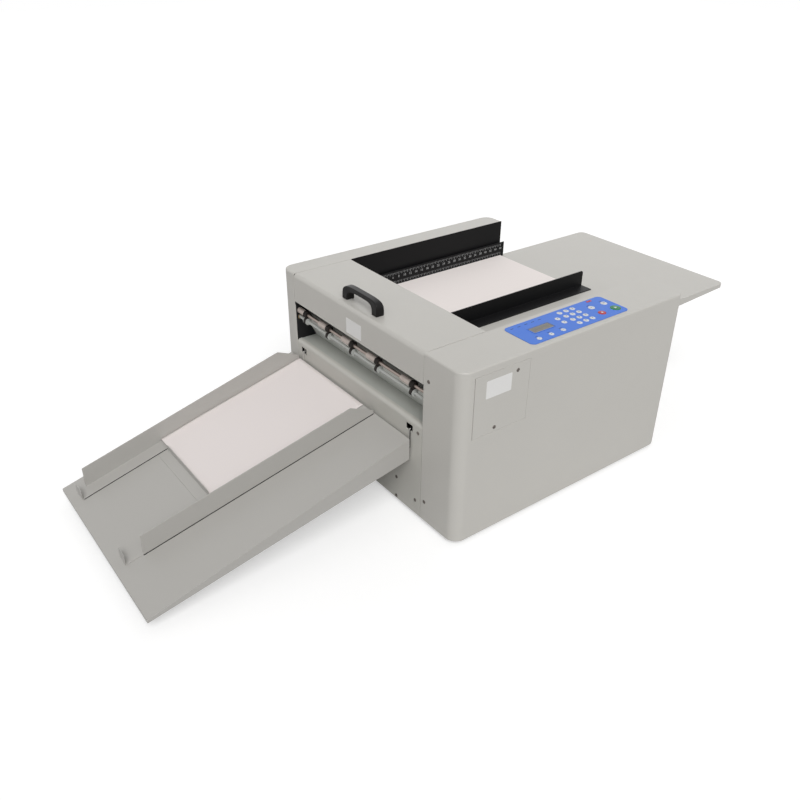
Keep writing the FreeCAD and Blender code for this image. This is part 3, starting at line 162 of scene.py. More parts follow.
def layerGroup():
    # The cut edge of a stack of sheets: thin level lines, seen on upright faces only
    tree, start, end = newGroup(
        "sheetLayers",
        {"Colour": (0.9, 0.9, 0.9, 1), "Sheets Per Metre": 9000, "Line Depth": 0.25},
        ("Colour", "Height"))
    place = tree.nodes.new("ShaderNodeTexCoord").outputs["Object"]
    geometry = tree.nodes.new("ShaderNodeNewGeometry").outputs["Normal"]
    split = tree.nodes.new("ShaderNodeSeparateXYZ")
    tree.links.new(place, split.inputs[0])
    facing = tree.nodes.new("ShaderNodeSeparateXYZ")
    tree.links.new(geometry, facing.inputs[0])
    upright = mathNode(tree, "SUBTRACT", 1.0, mathNode(tree, "ABSOLUTE", facing.outputs["Z"], 0))
    wave = mathNode(tree, "SINE", mathNode(tree, "MULTIPLY", split.outputs["Z"],
                                           start.outputs["Sheets Per Metre"]), 0)
    depth = mathNode(tree, "MULTIPLY", mathNode(tree, "MULTIPLY", wave, upright),
                     start.outputs["Line Depth"])
    fibre = noiseNode(tree, place, 1400.0, 3)
    both = mathNode(tree, "ADD", mathNode(tree, "MULTIPLY", fibre, 0.35),
                    mathNode(tree, "MULTIPLY", depth, 0.5))
    return closeGroup(tree, end, {
        "Colour": shadeColour(tree, start.outputs["Colour"], both, 0.16), "Height": both})


groups = {"grain": grainGroup(), "brush": brushGroup(), "layers": layerGroup()}


def finish(name, group, colour, values, metallic=0.0, roughness=None, bump=(0.1, 0.0002),
           coat=0.0, specular=0.5):
    # A Principled material fed by one of the shared groups
    material = bpy.data.materials.new(name)
    material.use_nodes = True
    tree = material.node_tree
    shader = tree.nodes["Principled BSDF"]
    for label, value in (("Metallic", metallic), ("Coat Weight", coat),
                         ("Specular IOR Level", specular)):
        shader.inputs[label].default_value = value
    shared = tree.nodes.new("ShaderNodeGroup")
    shared.node_tree = groups[group]
    shared.inputs["Colour"].default_value = (*colour, 1)
    for label, value in values.items():
        shared.inputs[label].default_value = value
    tree.links.new(shared.outputs["Colour"], shader.inputs["Base Color"])
    feed(tree, shader.inputs["Roughness"],
         shared.outputs["Roughness"] if roughness is None else roughness)
    relief = tree.nodes.new("ShaderNodeBump")
    relief.inputs["Strength"].default_value = bump[0]
    relief.inputs["Distance"].default_value = bump[1]
    tree.links.new(shared.outputs["Height"], relief.inputs["Height"])
    tree.links.new(relief.outputs["Normal"], shader.inputs["Normal"])
    return material


def paint(name, colour, roughness=0.42, grain=1100, tone=0.03, fine=0.05, specular=0.5):
    return finish(name, "grain", colour,
                  {"Grain Scale": grain, "Tone Spread": tone, "Fine Spread": fine,
                   "Roughness": roughness, "Rough Spread": 0.12}, bump=(0.12, 0.00015),
                  specular=specular)


def moulded(name, colour, roughness=0.5, grain=1600, fine=0.08, bump=0.25, coat=0.0,
            specular=0.5):
    return finish(name, "grain", colour,
                  {"Grain Scale": grain, "Tone Spread": 0.05, "Fine Spread": fine,
                   "Roughness": roughness, "Rough Spread": 0.1}, bump=(bump, 0.0002), coat=coat,
                  specular=specular)


def drawn(name, colour, stretch, roughness=0.28, spread=0.25, scale=1500):
    return finish(name, "brush", colour,
                  {"Stretch": stretch, "Line Scale": scale, "Tone Spread": spread,
                   "Roughness": roughness, "Rough Spread": 0.25}, metallic=1.0,
                  bump=(0.08, 0.0001))


paints = {
    "cover": paint("coverPaint", (0.535, 0.521, 0.489)),
    "panel": paint("panelPaint", (0.51, 0.50, 0.462)),
    "tray": paint("trayPaint", (0.435, 0.424, 0.402), roughness=0.38),
    "frame": paint("frameBlack", (0.012, 0.012, 0.013), roughness=0.5, specular=0.25),
    "guide": paint("guideBlack", (0.006, 0.006, 0.0065), roughness=0.46, fine=0.3, specular=0.16),
    "shelf": paint("shelfGrey", (0.44, 0.45, 0.42), roughness=0.4),
    "plate": paint("guidePlate", (0.68, 0.69, 0.66), roughness=0.35),
    "motor": paint("motorBlack", (0.018, 0.018, 0.02), roughness=0.35),
    "zinc": drawn("zincPlate", (0.42, 0.43, 0.41), (1, 0.05, 1), roughness=0.45),
    "steel": drawn("turnedSteel", (0.58, 0.57, 0.55), (1, 0.02, 1)),
    "shaft": paint("sleevedShaft", (0.47, 0.48, 0.46), roughness=0.6, specular=0.2),
    "nip": drawn("coatedShaft", (0.40, 0.335, 0.30), (1, 0.02, 1), roughness=0.42),
    "screw": drawn("screwSteel", (0.20, 0.18, 0.165), (1, 1, 1), roughness=0.4),
    "alloy": drawn("turnedAlloy", (0.72, 0.72, 0.73), (1, 0.02, 1), roughness=0.35),
    "hub": moulded("hubPlastic", (0.52, 0.45, 0.41), roughness=0.45, bump=0.1),
    "brass": drawn("bushBrass", (0.30, 0.22, 0.12), (1, 0.05, 1), roughness=0.5),
    "rubber": moulded("footRubber", (0.02, 0.02, 0.02), roughness=0.75, bump=0.4),
    "tyre": moulded("tyreRubber", (0.022, 0.018, 0.016), roughness=0.7, bump=0.5, specular=0.25),
    "belt": moulded("beltRubber", (0.03, 0.03, 0.03), roughness=0.7, bump=0.5, grain=2600),
    # painted shade: a near-black that stands in for the shade in holes and slots and for dark
    # shadow lines
    "paintedShade": moulded("paintedShadeBlack", (0.006, 0.006, 0.006), roughness=0.8, specular=0.1),
    "handle": moulded("handlePlastic", (0.006, 0.0055, 0.0055), roughness=0.34, bump=0.2,
                      specular=0.22),
    "inlet": moulded("inletPlastic", (0.015, 0.015, 0.016), roughness=0.4),
    "housing": moulded("housingPlastic", (0.05, 0.05, 0.055)),
    "film": moulded("panelFilm", (0.052, 0.185, 0.70), roughness=0.4, fine=0.05, bump=0.08,
                    specular=0.25),
    "bezel": moulded("bezelFilm", (0.042, 0.145, 0.55), roughness=0.4, bump=0.05, specular=0.3),
    "window": moulded("windowFilm", (0.185, 0.18, 0.165), roughness=0.25, fine=0.05, bump=0.02,
                      coat=0.2, specular=0.3),
    "cell": moulded("displayCell", (0.125, 0.12, 0.11), roughness=0.3, bump=0.02, specular=0.3),
    "white": moulded("keyWhite", (0.66, 0.68, 0.69), roughness=0.4, bump=0.08),
    "red": moulded("keyRed", (0.46, 0.03, 0.035), roughness=0.4, bump=0.08, specular=0.3),
    "green": moulded("keyGreen", (0.012, 0.19, 0.055), roughness=0.4, bump=0.08, specular=0.3),
    "ink": moulded("inkDark", (0.02, 0.03, 0.09), roughness=0.5, bump=0.02, specular=0.2),
    "scale": moulded("scaleWhite", (0.40, 0.41, 0.41), roughness=0.5, bump=0.02),
    "label": moulded("labelFilm", (0.76, 0.755, 0.745), roughness=0.35, bump=0.03),
    "board": moulded("boardLaminate", (0.02, 0.14, 0.05), roughness=0.35),
    "stack": finish("stackPaper", "layers", (0.965, 0.90, 0.875), {"Line Depth": 0.0},
                    roughness=0.85, bump=(0.15, 0.0001), specular=0.2),
    "sheet": finish("sheetPaper", "layers", (0.85, 0.79, 0.775), {"Line Depth": 0.0},
                    roughness=0.85, bump=(0.1, 0.0001), specular=0.2),
}

wear = {   # which finish each CAD node gets
    "cover": ["operator_side_cover", "far_side_cover", "access_hatch", "top_cover", "feed_table"],
    "panel": ["delivery_panel", "feed_end_panel", "base_pan"],
    "tray": ["delivery_tray", "near_tray_guide", "far_tray_guide", "paper_stop"],
    "frame": ["operator_side_frame", "far_side_frame"],
    "guide": ["wall_liner", "ruler_guide", "front_guide"],
    "shelf": ["exit_shelf"],
    "plate": ["exit_guide_plate"],
    "zinc": ["table_brackets", "feed_gate", "power_supply"],
    "steel": ["tie_bars_and_pins", "crease_die_bar", "crease_ram", "cam_shaft"],
    "shaft": ["exit_drive_shaft"],
    "nip": ["exit_nip_shaft"],
    "screw": ["cover_screws"],
    "alloy": ["pull_roller_upper", "feed_drive_roller", "feed_idler_roller",
              "feed_motor_pulley", "exit_motor_pulley", "crease_motor_pulley"],
    "brass": ["shaft_bearings"],
    "rubber": ["rubber_feet", "pull_roller_lower"],
    "tyre": ["exit_tyres"],
    "belt": ["suction_belts", "drive_belts"],
    "handle": ["cover_handle"],
    "inlet": ["power_inlet"],
    "housing": ["suction_blower"],
    "motor": ["drive_motors"],
    "film": ["control_panel"],
    "window": ["display_window"],
    "white": ["mode_key", "select_key", "enter_key", "minus_key", "plus_key", "number_keys"],
    "red": ["stop_key", "status_lamp", "power_switch"],
    "green": ["start_key"],
    "board": ["control_board"],
    "stack": ["feed_sheets"],
    "sheet": ["delivered_sheet"],
}
finishOf = {node: key for key, members in wear.items() for node in members}


def dress(obj, material):
    obj.data.materials.clear()
    obj.data.materials.append(material)


for name, obj in nodes.items():
    dress(obj, paints[finishOf[name]])
print("finishes on the CAD nodes")


def settle(obj, key, node, replacing=False):
    # Give a finished piece its finish and the body of its CAD node
    if obj.name not in bpy.context.scene.collection.objects:
        bpy.context.scene.collection.objects.link(obj)
    dress(obj, paints[key])
    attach(obj, bodyOf[node])
    if replacing:
        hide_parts(node)


def shadeSmooth(mesh, angle):
    for face in mesh.faces:
        face.smooth = True
    for line in mesh.edges:
        if len(line.link_faces) == 2:
            line.smooth = line.calc_face_angle() < math.radians(angle)


def softEdge(obj, width, angle=40, segments=2):
    bevel = obj.modifiers.new("softEdge", "BEVEL")
    bevel.width = width
    bevel.segments = segments
    bevel.limit_method = "ANGLE"
    bevel.angle_limit = math.radians(angle)
    bevel.harden_normals = True


folded = {"edge": 0.0006, "smoothUnder": 33, "flatUnder": 0.4, "bevelOver": 45, "hookGap": 0.0002}


def foldedCopy(node):
    # A clean copy of a CAD node, with joined faces, smooth bends and softened edges
    mesh = bmesh.new()
    mesh.from_mesh(nodes[node].data)
    bmesh.ops.remove_doubles(mesh, verts=mesh.verts, dist=1e-6)
    bmesh.ops.dissolve_limit(mesh, angle_limit=math.radians(folded["flatUnder"]),
                             verts=mesh.verts, edges=mesh.edges)
    shadeSmooth(mesh, folded["smoothUnder"])
    data = bpy.data.meshes.new(node + "Folded")
    mesh.to_mesh(data)
    mesh.free()
    obj = bpy.data.objects.new(node + "Folded", data)
    softEdge(obj, folded["edge"], folded["bevelOver"])
    settle(obj, finishOf[node], node, True)


foldedNodes = ["operator_side_cover", "far_side_cover", "top_cover", "access_hatch", "feed_table",
               "delivery_panel", "feed_end_panel", "delivery_tray", "near_tray_guide",
               "far_tray_guide", "paper_stop", "front_guide", "ruler_guide", "exit_guide_plate",
               "control_panel", "power_inlet", "power_switch", "exit_shelf", "wall_liner",
               "feed_gate", "rubber_feet", "base_pan", "table_brackets", "suction_blower",
               "drive_motors", "crease_ram", "crease_die_bar", "power_supply", "status_lamp"]
for node in foldedNodes:
    foldedCopy(node)
hooked = bpy.data.objects["delivery_trayFolded"].data
hooked.materials.append(paints["paintedShade"])
for face in hooked.polygons:   # the tray's hooks lie in the dark of their slots, and their faces are painted black as that shade
    face.material_index = int(face.center.x > low["delivery_panel"].x + folded["hookGap"])
print("folded sheet pieces")


def clearMesh(mesh, name):
    bmesh.ops.recalc_face_normals(mesh, faces=mesh.faces)
    data = bpy.data.meshes.new(name)
    mesh.to_mesh(data)
    mesh.free()
    return bpy.data.objects.new(name, data)


def bridge(mesh, rings):
    # Faces between each closed ring of corners and the next
    for first, second in zip(rings, rings[1:]):
        for step in range(len(first)):
            after = (step + 1) % len(first)
            mesh.faces.new((first[step], first[after], second[after], second[step]))


def rectangle(first, second):
    (left, under), (right, over) = first, second
    return [(left, under), (right, under), (right, over), (left, over)]


def circle(mesh, radius, height, segments):
    turns = (2 * math.pi * step / segments for step in range(segments))
    return [mesh.verts.new((radius * math.cos(turn), radius * math.sin(turn), height))
            for turn in turns]


def spun(name, profile, axis="Z", segments=48, smooth=40):
    # Profile: pairs of radius and place on the axis, open at both ends or closed on it
    mesh = bmesh.new()
    rings = []
    for radius, height in profile:
        if radius == 0:
            rings.append([mesh.verts.new((0, 0, height))])
            continue
        rings.append(circle(mesh, radius, height, segments))
    for first, second in zip(rings, rings[1:]):
        for step in range(segments):
            after = (step + 1) % segments
            corners = [first[step % len(first)], first[after % len(first)],
                       second[after % len(second)], second[step % len(second)]]
            mesh.faces.new(list(dict.fromkeys(corners)))
    if axis == "Y":
        bmesh.ops.rotate(mesh, verts=mesh.verts, matrix=Matrix.Rotation(-math.pi / 2, 3, "X"))
    shadeSmooth(mesh, smooth)
    return clearMesh(mesh, name)


def plate(name, outline, thickness, axis="Z"):
    # A flat piece from an outline of 3-D corners, thickened along the given direction
    mesh = bmesh.new()
    push = {"X": Vector((1, 0, 0)), "Y": Vector((0, 1, 0)), "Z": Vector((0, 0, 1))}[axis]
    under = [mesh.verts.new(place) for place in outline]
    over = [mesh.verts.new(Vector(place) + push * thickness) for place in outline]
    mesh.faces.new(under)
    mesh.faces.new(over)
    bridge(mesh, (under, over))
    return clearMesh(mesh, name)


def tablet(name, size, thickness):
    # A small level plate about the origin
    wide, deep = size[0] / 2, size[1] / 2
    return plate(name, [(x, y, 0) for x, y in rectangle((-wide, -deep), (wide, deep))], thickness)


def roundedOutline(first, second, radius, level, plane="XY", steps=6):
    # A rectangle with rounded corners; level is its place square to the plane
    corners = []
    for across, up, start in ((second[0], second[1], 0), (first[0], second[1], 90),
                              (first[0], first[1], 180), (second[0], first[1], 270)):
        middle = (across - math.copysign(radius, across - first[0] - radius),
                  up - math.copysign(radius, up - first[1] - radius))
        for step in range(steps + 1):
            turn = math.radians(start + 90 * step / steps)
            u = middle[0] + radius * math.cos(turn)
            v = middle[1] + radius * math.sin(turn)
            corners.append({"XY": (u, v, level), "YZ": (level, u, v), "XZ": (u, level, v)}[plane])
    return corners


def strewTree():
    # Copies of one template on points, each turned and sized by the points' own attributes
    tree = bpy.data.node_groups.new("strewCopies", "GeometryNodeTree")
    for label, kind in (("Geometry", "NodeSocketGeometry"), ("Template", "NodeSocketObject"),
                        ("Finish", "NodeSocketMaterial"), ("Spin", "NodeSocketFloat"),
                        ("Seed", "NodeSocketInt")):
        tree.interface.new_socket(name=label, in_out="INPUT", socket_type=kind)
    tree.interface.new_socket(name="Geometry", in_out="OUTPUT", socket_type="NodeSocketGeometry")
    add, link = tree.nodes.new, tree.links.new
    start, end = add("NodeGroupInput"), add("NodeGroupOutput")
    template = add("GeometryNodeObjectInfo")
    link(start.outputs["Template"], template.inputs["Object"])
    spread = add("GeometryNodeInstanceOnPoints")
    link(start.outputs["Geometry"], spread.inputs["Points"])
    link(template.outputs["Geometry"], spread.inputs["Instance"])
    for label, socket in (("turn", "Rotation"), ("stretch", "Scale")):
        read = add("GeometryNodeInputNamedAttribute")
        read.data_type = "FLOAT_VECTOR"
        read.inputs["Name"].default_value = label
        link(read.outputs["Attribute"], spread.inputs[socket])
    chance = add("FunctionNodeRandomValue")
    chance.data_type = "FLOAT"
    link(start.outputs["Spin"], chance.inputs[3])
    link(start.outputs["Seed"], chance.inputs["Seed"])
    spin = add("ShaderNodeCombineXYZ")
    link(chance.outputs[1], spin.inputs["Z"])
    turned = add("GeometryNodeRotateInstances")
    link(spread.outputs[0], turned.inputs["Instances"])
    link(spin.outputs[0], turned.inputs["Rotation"])
    real = add("GeometryNodeRealizeInstances")
    link(turned.outputs[0], real.inputs[0])
    coat = add("GeometryNodeSetMaterial")
    link(real.outputs[0], coat.inputs["Geometry"])
    link(start.outputs["Finish"], coat.inputs["Material"])
    link(coat.outputs[0], end.inputs[0])
    return tree


strewCopies = strewTree()


def strewn(name, template, rows, finishKey, spin=0.0, seed=3):
    # Rows: place, and if wanted the turn and the stretch of each copy
    scene = bpy.context.scene.collection.objects
    data = bpy.data.meshes.new(name + "Points")
    data.from_pydata([tuple(row[0]) for row in rows], [], [])
    for label, index, plain in (("turn", 1, (0, 0, 0)), ("stretch", 2, (1, 1, 1))):
        values = data.attributes.new(label, "FLOAT_VECTOR", "POINT")
        for point, row in zip(values.data, rows):
            point.vector = row[index] if len(row) > index else plain
    points = bpy.data.objects.new(name + "Points", data)
    scene.link(points)
    scene.link(template)
    strew = points.modifiers.new("strew", "NODES")
    strew.node_group = strewCopies
    inputs = {"Template": template, "Finish": paints[finishKey], "Spin": spin, "Seed": seed}
    for item in strewCopies.interface.items_tree:
        if item.in_out == "INPUT" and item.name in inputs:
            strew[item.identifier] = inputs[item.name]
    evaluated = points.evaluated_get(bpy.context.evaluated_depsgraph_get())
    result = bpy.data.objects.new(name, bpy.data.meshes.new_from_object(evaluated))
    result.data.name = name
    bpy.data.objects.remove(points)
    bpy.data.objects.remove(template)
    return result


def printed(name, words, size, place, rotation, thickness=0.00008):
    # Plain numbers as a thin raised print, turned into a mesh
    curve = bpy.data.curves.new(name + "Curve", "FONT")
    curve.body = words
    curve.size = size
    curve.align_x = "CENTER"
    curve.align_y = "CENTER"
    curve.extrude = thickness
    curve.resolution_u = 2
    source = bpy.data.objects.new(name + "Source", curve)
    bpy.context.scene.collection.objects.link(source)
    evaluated = source.evaluated_get(bpy.context.evaluated_depsgraph_get())
    data = bpy.data.meshes.new_from_object(evaluated)
    bpy.data.objects.remove(source)
    data.transform(Matrix.Translation(place) @ rotation.to_4x4())
    return data


def joined(name, meshes):
    mesh = bmesh.new()
    for data in meshes:
        mesh.from_mesh(data)
        bpy.data.meshes.remove(data)
    return clearMesh(mesh, name)


def at(x, y, z):
    # Millimetres from the delivery face, the operator's face and the floor
    return Vector(((x - 217.5) / 1000, (y - 357.5) / 1000, z / 1000))


print("tools ready")

handle = {"outer": (0.070, 0.036, 5.0), "inner": (0.050, 0.0245, 4.0), "halfWidth": 0.011,
          "waist": 0.0085, "steps": 48, "edge": 0.0022}


def handlePiece(values):
    # A bow with thick feet: two rounded arches joined by its four sides
    middle = (low["cover_handle"] + high["cover_handle"]) / 2
    base = low["cover_handle"].z
    mesh = bmesh.new()
    rings = []
    for step in range(values["steps"] + 1):
        turn = math.pi * step / values["steps"]
        ring = []
        for (reach, rise, power), side in ((values["outer"], -1), (values["inner"], -1),
                                           (values["inner"], 1), (values["outer"], 1)):
            across = math.copysign(abs(math.cos(turn)) ** (2 / power), math.cos(turn)) * reach
            up = abs(math.sin(turn)) ** (2 / power) * rise
            half = values["waist"] + (values["halfWidth"] - values["waist"]) * \
                abs(math.cos(turn)) ** 3
            ring.append(mesh.verts.new((middle.x + half * side, middle.y + across, base + up)))
        rings.append(ring)
    bridge(mesh, rings)
    mesh.faces.new(rings[0])
    mesh.faces.new(rings[-1])
    shadeSmooth(mesh, 35)
    obj = clearMesh(mesh, "liftHandle")
    softEdge(obj, values["edge"], 50, 3)
    return obj


settle(handlePiece(handle), "handle", "cover_handle", True)
print("handle")

screw = {"radius": 0.0045, "rim": 0.0007, "rise": 0.00115, "slot": 0.0008, "reach": 0.0024,
         "segments": 20, "turn": 3.1, "seed": 11, "lowRow": 214.5, "lowHeights": (72, 17),
         "panelInset": 0.015, "panelRows": (0.03, 0.06)}


def screwHead(values):
    # A low pan head with a cross-shaped recess
    mesh = bmesh.new()
    radius, segments = values["radius"], values["segments"]
    rings = [circle(mesh, radius * size, height, segments)
             for size, height in ((1.0, 0.0), (1.0, values["rim"] * 0.6),
                                  (0.93, values["rim"]), (0.76, values["rise"]))]
    bridge(mesh, rings)
    near, far = values["slot"] / 2, values["reach"]
    cross = [(near, near), (near, far), (-near, far), (-near, near), (-far, near), (-far, -near),
             (-near, -near), (-near, -far), (near, -far), (near, -near), (far, -near), (far, near)]
    upper = [mesh.verts.new((x, y, values["rise"])) for x, y in cross]
    lower = [mesh.verts.new((x * 0.8, y * 0.8, values["rim"] * 0.4)) for x, y in cross]
    rim = [mesh.edges.get((rings[-1][step], rings[-1][(step + 1) % segments]))
           for step in range(segments)]
    rim += [mesh.edges.new((upper[step], upper[(step + 1) % 12])) for step in range(12)]
    bmesh.ops.triangle_fill(mesh, edges=rim, use_beauty=True)
    bridge(mesh, (upper, lower))
    mesh.faces.new(lower)
    shadeSmooth(mesh, 30)
    return clearMesh(mesh, "screwHead")


faceTurn = {"-X": (0, -math.pi / 2, 0), "+X": (0, math.pi / 2, 0), "-Y": (math.pi / 2, 0, 0),
            "+Y": (-math.pi / 2, 0, 0)}


def islandsOf(node):
    # The lowest and highest corner of each separate body of a CAD node
    source = nodes[node]
    spans = []
    mesh = bmesh.new()
    mesh.from_mesh(source.data)
    bmesh.ops.remove_doubles(mesh, verts=mesh.verts, dist=1e-6)
    left = set(mesh.verts)
    while left:
        island, queue = [], [left.pop()]
        while queue:
            vertex = queue.pop()
            island.append(source.matrix_world @ vertex.co)
            for line in vertex.link_edges:
                other = line.other_vert(vertex)
                if other in left:
                    left.remove(other)
                    queue.append(other)
        spans.append([Vector([pick(place[axis] for place in island) for axis in range(3)])
                      for pick in (min, max)])
    mesh.free()
    return spans


def screwRows(values):
    # Where the CAD screws are, and the rows that hold the feed end panel
    rows = []
    for first, last in islandsOf("cover_screws"):
        centre, size = (first + last) / 2, last - first
        if size.x < size.y:
            rows.append(((last.x, centre.y, centre.z), faceTurn["-X"]))
        elif centre.y < 0:
            rows.append(((centre.x, last.y, centre.z), faceTurn["-Y"]))
        else:
            rows.append(((centre.x, first.y, centre.z), faceTurn["+Y"]))
    rows += [(at(0, values["lowRow"], z), faceTurn["-X"]) for z in values["lowHeights"]]
    first, last = low["feed_end_panel"], high["feed_end_panel"]
    inset, (under, over) = values["panelInset"], values["panelRows"]
    for y in (first.y + inset, (first.y + last.y) / 2, last.y - inset):
        for z in (first.z + under, last.z - over):
            rows.append(((last.x, y, z), faceTurn["+X"]))
    return rows


settle(strewn("coverScrewHeads", screwHead(screw), screwRows(screw), "screw", screw["turn"],
              screw["seed"]), "screw", "cover_screws", True)
print("screws")

cap = {"rim": 0.0002, "dome": 0.0009, "under": -0.0005, "segments": 28}
keypad = {"radius": 0.0066, "segments": 20, "first": (370, 32.5), "pitch": (21, 20.5),
          "beside": ((344, 54.5), (344, 75)), "digit": 0.0072, "lift": 0.00004,
          "words": ["", "0", "", "7", "8", "9", "4", "5", "6", "1", "2", "3", "", ""]}


def capShape(radius, values):
    # A button that rises from a thin rim to a shallow dome
    rim, dome = values["rim"], values["dome"]
    return [(radius, values["under"]), (radius, rim), (radius * 0.93, rim * 2.2),
            (radius * 0.62, dome * 0.85), (radius * 0.3, dome * 0.97), (0, dome)]


panelTop = high["control_panel"].z
loose = {"mode_key": "", "select_key": "", "enter_key": "", "minus_key": "minus",
         "plus_key": "plus", "stop_key": "square", "start_key": "triangle"}


def barMesh(name, outline, level, thickness=0.0001):
    obj = plate(name, [(x, y, level) for x, y in outline], thickness)
    data = obj.data
    bpy.data.objects.remove(obj)
    return data


def glyph(kind, centre, size, level):
    x, y = centre
    bar = size * 0.13
    shapes = {
        "minus": [rectangle((x - size, y - bar), (x + size, y + bar))],
        "square": [rectangle((x - size * 0.6, y - size * 0.6), (x + size * 0.6, y + size * 0.6))],
        "triangle": [[(x - size * 0.6, y - size * 0.8), (x + size * 0.8, y),
                      (x - size * 0.6, y + size * 0.8)]],
        "dot": [[(x + size * 0.4 * math.cos(step * math.pi / 4),
                  y + size * 0.4 * math.sin(step * math.pi / 4)) for step in range(8)]],
    }
    if kind == "plus":
        pieces = shapes["minus"] + [rectangle((x - bar, y - size), (x + bar, y + size))]
    else:
        pieces = shapes[kind]
    return [barMesh(kind, piece, level + 0.00002 * index) for index, piece in enumerate(pieces)]


for name, kind in loose.items():
    centre = (low[name] + high[name]) / 2
    radius = (high[name].x - low[name].x) / 2
    button = spun(name + "Cap", capShape(radius, cap), segments=cap["segments"])
    button.data.transform(Matrix.Translation((centre.x, centre.y, panelTop)))
    settle(button, finishOf[name], name, True)
    shapes = glyph(kind or "dot", (centre.x, centre.y), radius * 0.42, panelTop + cap["dome"])
    settle(joined(name + "Mark", shapes),
           "white" if kind in ("square", "triangle") else "ink", name)


def keypadPieces(values):
    places = [at(values["first"][0] + values["pitch"][0] * column,
                 values["first"][1] + values["pitch"][1] * row, 0)
              for row in range(4) for column in range(3)]
    places += [at(x, y, 0) for x, y in values["beside"]]
    button = spun("numberCap", capShape(values["radius"], cap), segments=values["segments"])
    settle(strewn("numberCaps", button, [((place.x, place.y, panelTop),) for place in places],
                  "white"), "white", "number_keys", True)
    digits = []
    level = panelTop + cap["dome"] + values["lift"]
    for place, words in zip(places, values["words"]):
        if words:
            digits.append(printed("digit" + words, words, values["digit"],
                                  (place.x, place.y, level), Matrix.Identity(3)))
        else:
            digits += glyph("dot", (place.x, place.y), values["radius"] * 0.5, level)
    settle(joined("keypadDigits", digits), "ink", "number_keys")


keypadPieces(keypad)
print("keys and digits")

display = {"bezel": 0.0016, "raise": 0.0005, "lap": 0.0012, "corners": (0.003, 0.001),
           "sink": 0.0003, "columns": 16, "rows": 2, "cell": (0.0028, 0.0054),
           "cellThickness": 0.00005, "pitch": (0.0035, 0.0076)}
dashes = {"count": 5, "size": (0.009, 0.0016), "corner": 0.0007, "thickness": 0.00006,
          "first": (-0.026, 0.020), "pitch": 0.021, "keyGap": 0.0035}


def displayPieces(values):
    first, last = low["display_window"], high["display_window"]
    outer, inner = (roundedOutline((first.x - reach, first.y - reach),
                                   (last.x + reach, last.y + reach), corner, panelTop)
                    for reach, corner in zip((values["bezel"], -values["lap"]),
                                             values["corners"]))
    mesh = bmesh.new()
    loops = [[mesh.verts.new(Vector(place) + Vector((0, 0, lift))) for place in ring]
             for ring, lift in ((outer, 0), (outer, values["raise"]), (inner, values["raise"]),
                                (inner, -values["sink"]))]
    bridge(mesh, loops)
    settle(clearMesh(mesh, "displayBezel"), "bezel", "control_panel")
    middle = (first + last) / 2
    cell = tablet("cell", values["cell"], values["cellThickness"])
    rows = []
    for column in range(values["columns"]):
        for row in range(values["rows"]):
            rows.append(((middle.x + (column - (values["columns"] - 1) / 2) * values["pitch"][0],
                          middle.y + (row - (values["rows"] - 1) / 2) * values["pitch"][1],
                          last.z),))
    settle(strewn("displayCells", cell, rows, "cell"), "cell", "display_window")


def panelDashes(values):
    # Bare dashes in the places of the panel's words
    wide, tall = values["size"]
    dash = plate("dash", roundedOutline((-wide / 2, -tall / 2), (wide / 2, tall / 2),
                                        values["corner"], 0), values["thickness"])
    across, up = values["first"]
    rows = [((low["display_window"].x + across + values["pitch"] * number,
              high["display_window"].y + up, panelTop),) for number in range(values["count"])]
    for name in ("mode_key", "select_key", "enter_key", "minus_key", "plus_key"):
        centre = (low[name] + high[name]) / 2
        rows.append(((centre.x, high[name].y + values["keyGap"], panelTop),))
    settle(strewn("panelDashes", dash, rows, "ink"), "ink", "control_panel")


displayPieces(display)
panelDashes(dashes)
print("display")

labels = {"corner": 0.002, "thickness": 0.0003, "lid": ((0, 355, 374), (0, 416, 412)),
          "hatch": ((67, 0, 365), (138, 0, 407))}


def labelPlate(name, corners, plane, node, values):
    # A thin bare plate on an upright face; the plane's first letter runs along the face
    first, last = (at(*corner) for corner in corners)
    along, square = (0, 1) if plane == "XZ" else (1, 0)
    outline = roundedOutline((first[along], first.z), (last[along], last.z), values["corner"],
                             first[square] - values["thickness"], plane)
    settle(plate(name, outline, values["thickness"], "XY"[square]), "label", node)


labelPlate("lidLabel", labels["lid"], "YZ", "top_cover", labels)
labelPlate("hatchLabel", labels["hatch"], "XZ", "access_hatch", labels)
print("bare label plates")

ruler = {"start": 244, "end": 704, "step": 5, "short": 0.0035, "long": 0.007, "line": 0.0009,
         "digit": 0.0098, "drop": 0.0065, "thickness": 0.0001, "rows": (0.0395, 0.0145)}


def rulerMarks(values):
    # Two scales on the fixed guide: ticks every 5 mm and a number every 20 mm
    face, base = low["ruler_guide"].y, low["ruler_guide"].z
    thin = values["thickness"]
    tick = plate("tick", [(-0.5, 0, -0.5), (0.5, 0, -0.5), (0.5, 0, 0.5), (-0.5, 0, 0.5)], 1.0, "Y")
    rows, words = [], []
    upright = Matrix.Rotation(math.pi / 2, 3, "X")
    for level, rise in enumerate(values["rows"]):
        place, number = values["start"], 0
        while place <= values["end"]:
            tall = values["long"] if number % 2 == 0 else values["short"]
            x = at(place, 0, 0).x
            rows.append(((x, face - thin, base + rise - tall / 2), (0, 0, 0),
                         (values["line"], thin, tall)))
            if number % 4 == 0:
                count = str(number // 2)
                words.append(printed("scale" + str(level) + count, count, values["digit"],
                                     (x, face - thin,
                                      base + rise - values["long"] - values["drop"]), upright))
            place += values["step"]
            number += 1
    settle(strewn("rulerTicks", tick, rows, "scale"), "scale", "ruler_guide")
    settle(joined("rulerNumbers", words), "scale", "ruler_guide")


rulerMarks(ruler)
print("ruler marks")

trayTop = {"rootHeight": 0.210, "slope": 0.175 / 0.644}


def traySurface(x, rise=0.0):
    # The height of the tray's sloping top at a place, in metres
    return trayTop["rootHeight"] + trayTop["slope"] * (x - at(0, 0, 0).x) + rise


